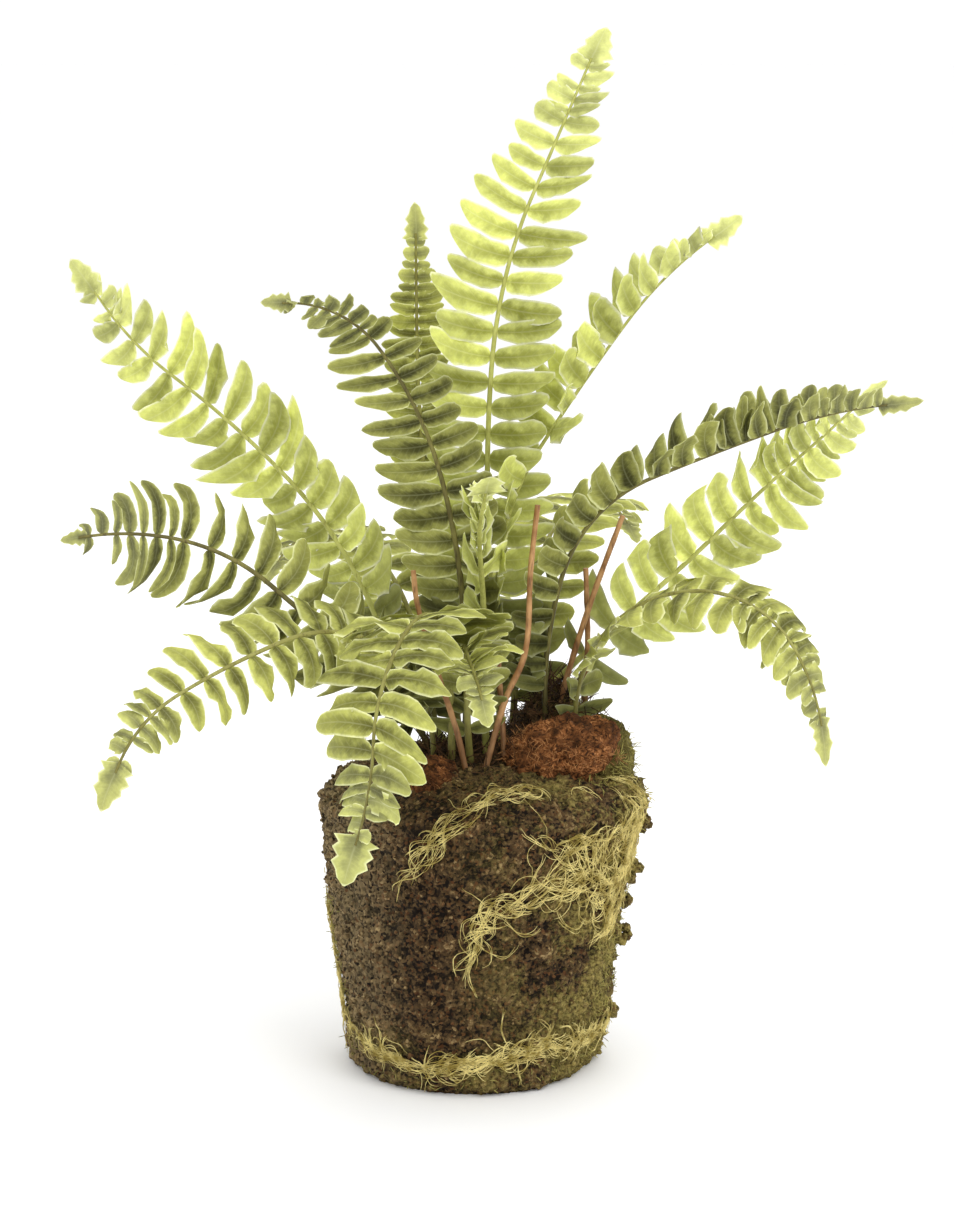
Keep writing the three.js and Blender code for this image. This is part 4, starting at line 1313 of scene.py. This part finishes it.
# %% Where the moss lies
# Each mat's strands of (angle, height, width), how far it spreads about them, how freely its
# threads wander, and how many cords it has.
MATS = {
    "moss_crown_strand": (
        [[(-72, 138, 4), (-84, 140, 9), (-97, 128, 8), (-108, 112, 7), (-117, 98, 4)]], 0.34, 0.4, 60,
    ),
    "moss_net_right": ([
        [(-93, 66, 2), (-88, 82, 4), (-72, 92, 7), (-54, 96, 8), (-38, 84, 5)],
        [(-66, 112, 4), (-46, 108, 12), (-28, 108, 16), (-15, 116, 6)],
        [(-52, 100, 8), (-38, 94, 12), (-26, 98, 12), (-18, 108, 6)],
        [(-14, 128, 6), (-20, 104, 12), (-28, 84, 10), (-34, 72, 4)],
    ], 0.6, 0.8, 400),
    "moss_band_low": ([
        [(-158, 20, 2), (-132, 16, 3), (-110, 12, 4), (-84, 18, 9), (-58, 21, 9), (-34, 19, 7),
         (-14, 20, 4)],
    ], 0.5, 0.3, 260),
    "moss_strip_left": ([[(176, 72, 4), (178, 56, 9), (180, 40, 11), (184, 28, 5)]], 0.5, 0.7, 80),
}
moss_finish = thread_material("straw_moss", paint(160, 140, 66), paint(240, 224, 148))
DEGREES_PER_MM = math.degrees(1 / BALL_RIM_RADIUS)


def station_at(stations, share):
    """The angle, height and width at a share of a strand."""
    return [along_stations([station[k] for station in stations], share) for k in range(3)]


print(sum(mat[-1] for mat in MATS.values()), "cords of moss in", len(MATS), "mats")


# %% Moss threads
MOSS_THREAD = 0.14  # radius in millimetres
THREAD_STEP = 1.7
MARKS = 14  # places along a strand that call a straying thread back


def wander(strands, chance, spread, freedom):
    """A path of (angle, height) that sets off along a strand and strays, but not far from it."""
    strand = chance.choice(strands)
    share = chance.random()
    angle, height, width = station_at(strand, share)
    ahead = station_at(strand, min(share + 0.05, 1))
    behind = station_at(strand, max(share - 0.05, 0))
    heading = math.atan2(ahead[1] - behind[1], (ahead[0] - behind[0]) / DEGREES_PER_MM)
    heading += chance.gauss(0, freedom) + chance.choice((0, math.pi))
    angle += chance.gauss(0, spread) * width * DEGREES_PER_MM
    height += chance.gauss(0, spread) * width
    marks = [station_at(each, k / MARKS) for each in strands for k in range(MARKS + 1)]
    path = []
    for _ in range(chance.randint(8, 16)):
        path.append((angle, height))
        heading += chance.gauss(0, 0.12)
        away, mark = min(
            (math.hypot((mark[0] - angle) / DEGREES_PER_MM, mark[1] - height) - mark[2] * 0.5, mark)
            for mark in marks
        )
        if away > 0:
            home = math.atan2(mark[1] - height, (mark[0] - angle) / DEGREES_PER_MM)
            heading += 0.2 * math.sin(home - heading) * min(away, 1.5)
        angle += THREAD_STEP * math.cos(heading) * DEGREES_PER_MM
        height += THREAD_STEP * math.sin(heading)
    return path


def cord(strands, chance, spread, freedom):
    """A few threads that follow one path and fray apart at its ends."""
    path = wander(strands, chance, spread, freedom)
    threads = []
    for _ in range(chance.randint(1, 3)):
        start = chance.randint(0, 1)
        stop = len(path) - chance.randint(0, 2)
        aside, above, lift = chance.gauss(0, 0.5), chance.gauss(0, 0.5), chance.uniform(0.1, 1.3)
        phase = chance.uniform(0, 6.28)
        points = []
        for k, (angle, height) in enumerate(path[start:stop]):
            share = k / max(stop - start - 1, 1)
            fray = 0.5 + 2.2 * (share - 0.5) ** 2
            turned = angle + (aside * fray * 1.6 + 0.25 * math.sin(phase + 0.8 * k)) * DEGREES_PER_MM
            raised = height + above * fray * 1.6 + 0.25 * math.cos(phase + 0.7 * k)
            outward = 0.5 + lift * math.sin(math.pi * share) + 0.4 * math.sin(phase * 2 + k)
            points.append(soil_point(math.radians(turned), max(raised, 1.4), outward))
        threads.append(points)
    return threads


for index, (name, (strands, spread, freedom, cords)) in enumerate(MATS.items()):
    chance = random.Random(100 + index)
    threads = [thread for _ in range(cords) for thread in cord(strands, chance, spread, freedom)]
    thread_piece("dry_" + name, threads, MOSS_THREAD, moss_finish, (name,))

# %% [markdown]
# ## Fuzz
#
# Short living moss grows where the ball stays damp: on the shoulder, down the right side and
# along the left strip. It is the same kind of thread, only short, and it stands out from the
# surface, which breaks up the outline. Coir fibres stand out of their clumps in the same way,
# and wiry roots crowd between the stalks' feet.

# %% Short moss and coir fibres
fuzz_finish = thread_material("living_moss", paint(104, 98, 44), paint(184, 174, 96))
coir_thread_finish = thread_material("coir_fibre", paint(104, 62, 32), paint(190, 136, 84))
FUZZ_THREAD, COIR_THREAD, ROOT_THREAD = 0.16, 0.12, 0.22  # radii in millimetres
TUFT_STEPS = 4
TUFT_SAG = 0.12  # how much each step bends down


def tuft_thread(root, outward, chance, length, curl):
    """A short curved thread from a root, leaning at random."""
    lean = any_way(chance)
    heading = (outward + lean * 0.7).normalized()
    points = [root]
    for _ in range(TUFT_STEPS):
        heading = (heading + lean * curl + Vector((0, 0, -TUFT_SAG))).normalized()
        points.append(points[-1] + heading * (length / TUFT_STEPS))
    return points


chance = random.Random(31)
fuzz = []
# angle range, height range, how many, length
for angles, heights, count, length in (
    ((-38, 30), (60, 150), 620, 4.2),
    ((-30, 20), (8, 60), 240, 3.2),
    ((168, 196), (24, 78), 170, 3.2),
    ((-180, 180), (2, 14), 200, 2.8),
    ((40, 160), (20, 140), 240, 3.2),
):
    for _ in range(count):
        angle = math.radians(chance.uniform(*angles))
        height = chance.uniform(*heights)
        _, place, outward, _ = soil.closest_point_on_mesh(soil_point(angle, height) * MM)
        root = place / MM
        points = tuft_thread(root, outward, chance, length * chance.uniform(0.5, 1.3), 0.3)
        if min(point.z for point in points) > 0.3:
            fuzz.append(points)
thread_piece("moss_fuzz", fuzz, FUZZ_THREAD, fuzz_finish)


def lump_threads(name, count, length, chance):
    """Threads that stand out of a lump all round its upper part."""
    middle, half = LUMP_PLACES[name]
    threads = []
    for _ in range(count):
        around = any_way(chance)
        around.z = abs(around.z) * 0.9 - 0.15
        root = Vector([m + a * (h - LUMP_INSET) for m, a, h in zip(middle, around, half)])
        threads.append(tuft_thread(root, around, chance, length * chance.uniform(0.5, 1.6), 0.7))
    return threads


chance = random.Random(57)
coir_threads = lump_threads("coir_clump_right", count=700, length=3.4, chance=chance)
coir_threads += lump_threads("coir_clump_left", count=320, length=3.0, chance=chance)
thread_piece("coir_fibres", coir_threads, COIR_THREAD, coir_thread_finish)
shoulder_threads = lump_threads("moss_shoulder", count=700, length=4.2, chance=chance)
thread_piece("shoulder_moss", shoulder_threads, MOSS_THREAD, fuzz_finish)

# Wiry dark roots and old scales crowd between the stalks' feet and over the mound.
root_finish = thread_material("crown_root", paint(34, 24, 13), paint(92, 64, 36))
chance = random.Random(83)
crown_roots = []
# middle of a group, how far it spreads, how many roots
for middle, spread, count in (
    ((-2, -8), (16, 10), 420),
    (MOUND_SPOT, (11, 10), 420),
    ((10, 6), (22, 16), 360),
):
    for _ in range(count):
        x, y = (place + chance.gauss(0, size) for place, size in zip(middle, spread))
        if math.hypot(x - BALL_LEAN, y) < BALL_RIM_RADIUS - 14:
            root = Vector((x, y, top_height(x, y) - 1.5))
            crown_roots.append(tuft_thread(root, Vector((0, 0, 1)), chance, chance.uniform(6, 15), 0.5))
thread_piece("crown_roots", crown_roots, ROOT_THREAD, root_finish)

# %% [markdown]
# ## Old stalks
#
# Fronds that have died leave bare, wiry, reddish-brown stalks. Each takes a copy of the unit
# stalk, laid along a smooth line through its measured points.

# %% Lay the old stalks
TWIG_RADIUS = 1.8
TWIGS = {
    "twig_left": ((-3, -32), [(-4, -2, 18), (-12, -6, 44), (-20, -8, 72), (-22, -8, 88)]),
    "twig_centre": ((6, -29), [(8, 2, 28), (17, 5, 50), (19, 8, 84), (22, 10, 112)]),
    "twig_centre_short": ((14, -21), [(-2, 1, 30), (-4, 2, 62)]),
    "twig_right": ((40, 13), [(7, 0, 24), (15, 1, 48), (26, 2, 78)]),
    "twig_right_short": ((50, 19), [(1, 0, 30), (0, 0, 62)]),
}
twig_finish = stalk_material("old_stalk_skin", paint(140, 98, 58), paint(188, 144, 96), paint(84, 58, 38))


def smooth_line(points, count):
    """Evenly spread points on a smooth line through the given ones."""
    given = [Vector(point) for point in points]
    padded = [given[0] * 2 - given[1], *given, given[-1] * 2 - given[-2]]
    fine = []
    for k in range(len(given) - 1):
        a, b, c, d = padded[k:k + 4]
        for step in range(12):
            s = step / 12
            fine.append(0.5 * (2 * b + (c - a) * s + (2 * a - 5 * b + 4 * c - d) * s**2
                               + (3 * b - a - 3 * c + d) * s**3))
    fine.append(given[-1])
    lengths = np.cumsum([0] + [(q - p).length for p, q in zip(fine, fine[1:])])
    wanted = np.linspace(0, lengths[-1], count)
    return [Vector([np.interp(w, lengths, [p[k] for p in fine]) for k in range(3)]) for w in wanted]


def lay_twig(name, points, base, tip):
    line = smooth_line(points, STALK_RINGS + 1)
    radii, sides, normals = [], [], []
    for ring, point in enumerate(line):
        along = (line[min(ring + 1, STALK_RINGS)] - line[max(ring - 1, 0)]).normalized()
        side = along.cross(Vector((0.3, 1, 0.1))).normalized()
        share = ring / STALK_RINGS
        radii.append(mix(base, tip, share) * (1 + 0.07 * wobble(ring * 0.31 + len(name))))
        sides.append(side)
        normals.append(side.cross(along))
    twig = lay_stalk(line, radii, 1, sides, normals)
    twig.name = name
    twig.data.materials.append(twig_finish)
    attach(twig, "root")
    return twig


for name, ((x, y), route) in TWIGS.items():
    foot = Vector((x, y, top_height(x, y)))
    points = [foot + Vector(step) for step in route]
    sunk = foot - (points[0] - foot).normalized() * PLANT_DEPTH
    twig = lay_twig("old_" + name, [sunk, foot, *points], TWIG_RADIUS * 0.8, TWIG_RADIUS * 0.66)
    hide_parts(name)

# %% [markdown]
# ## Finish
#
# The unit shapes have done their work and go.

# %% Finish
for template in (leaflet_template, tip_template, stalk_template):
    bpy.data.objects.remove(template)
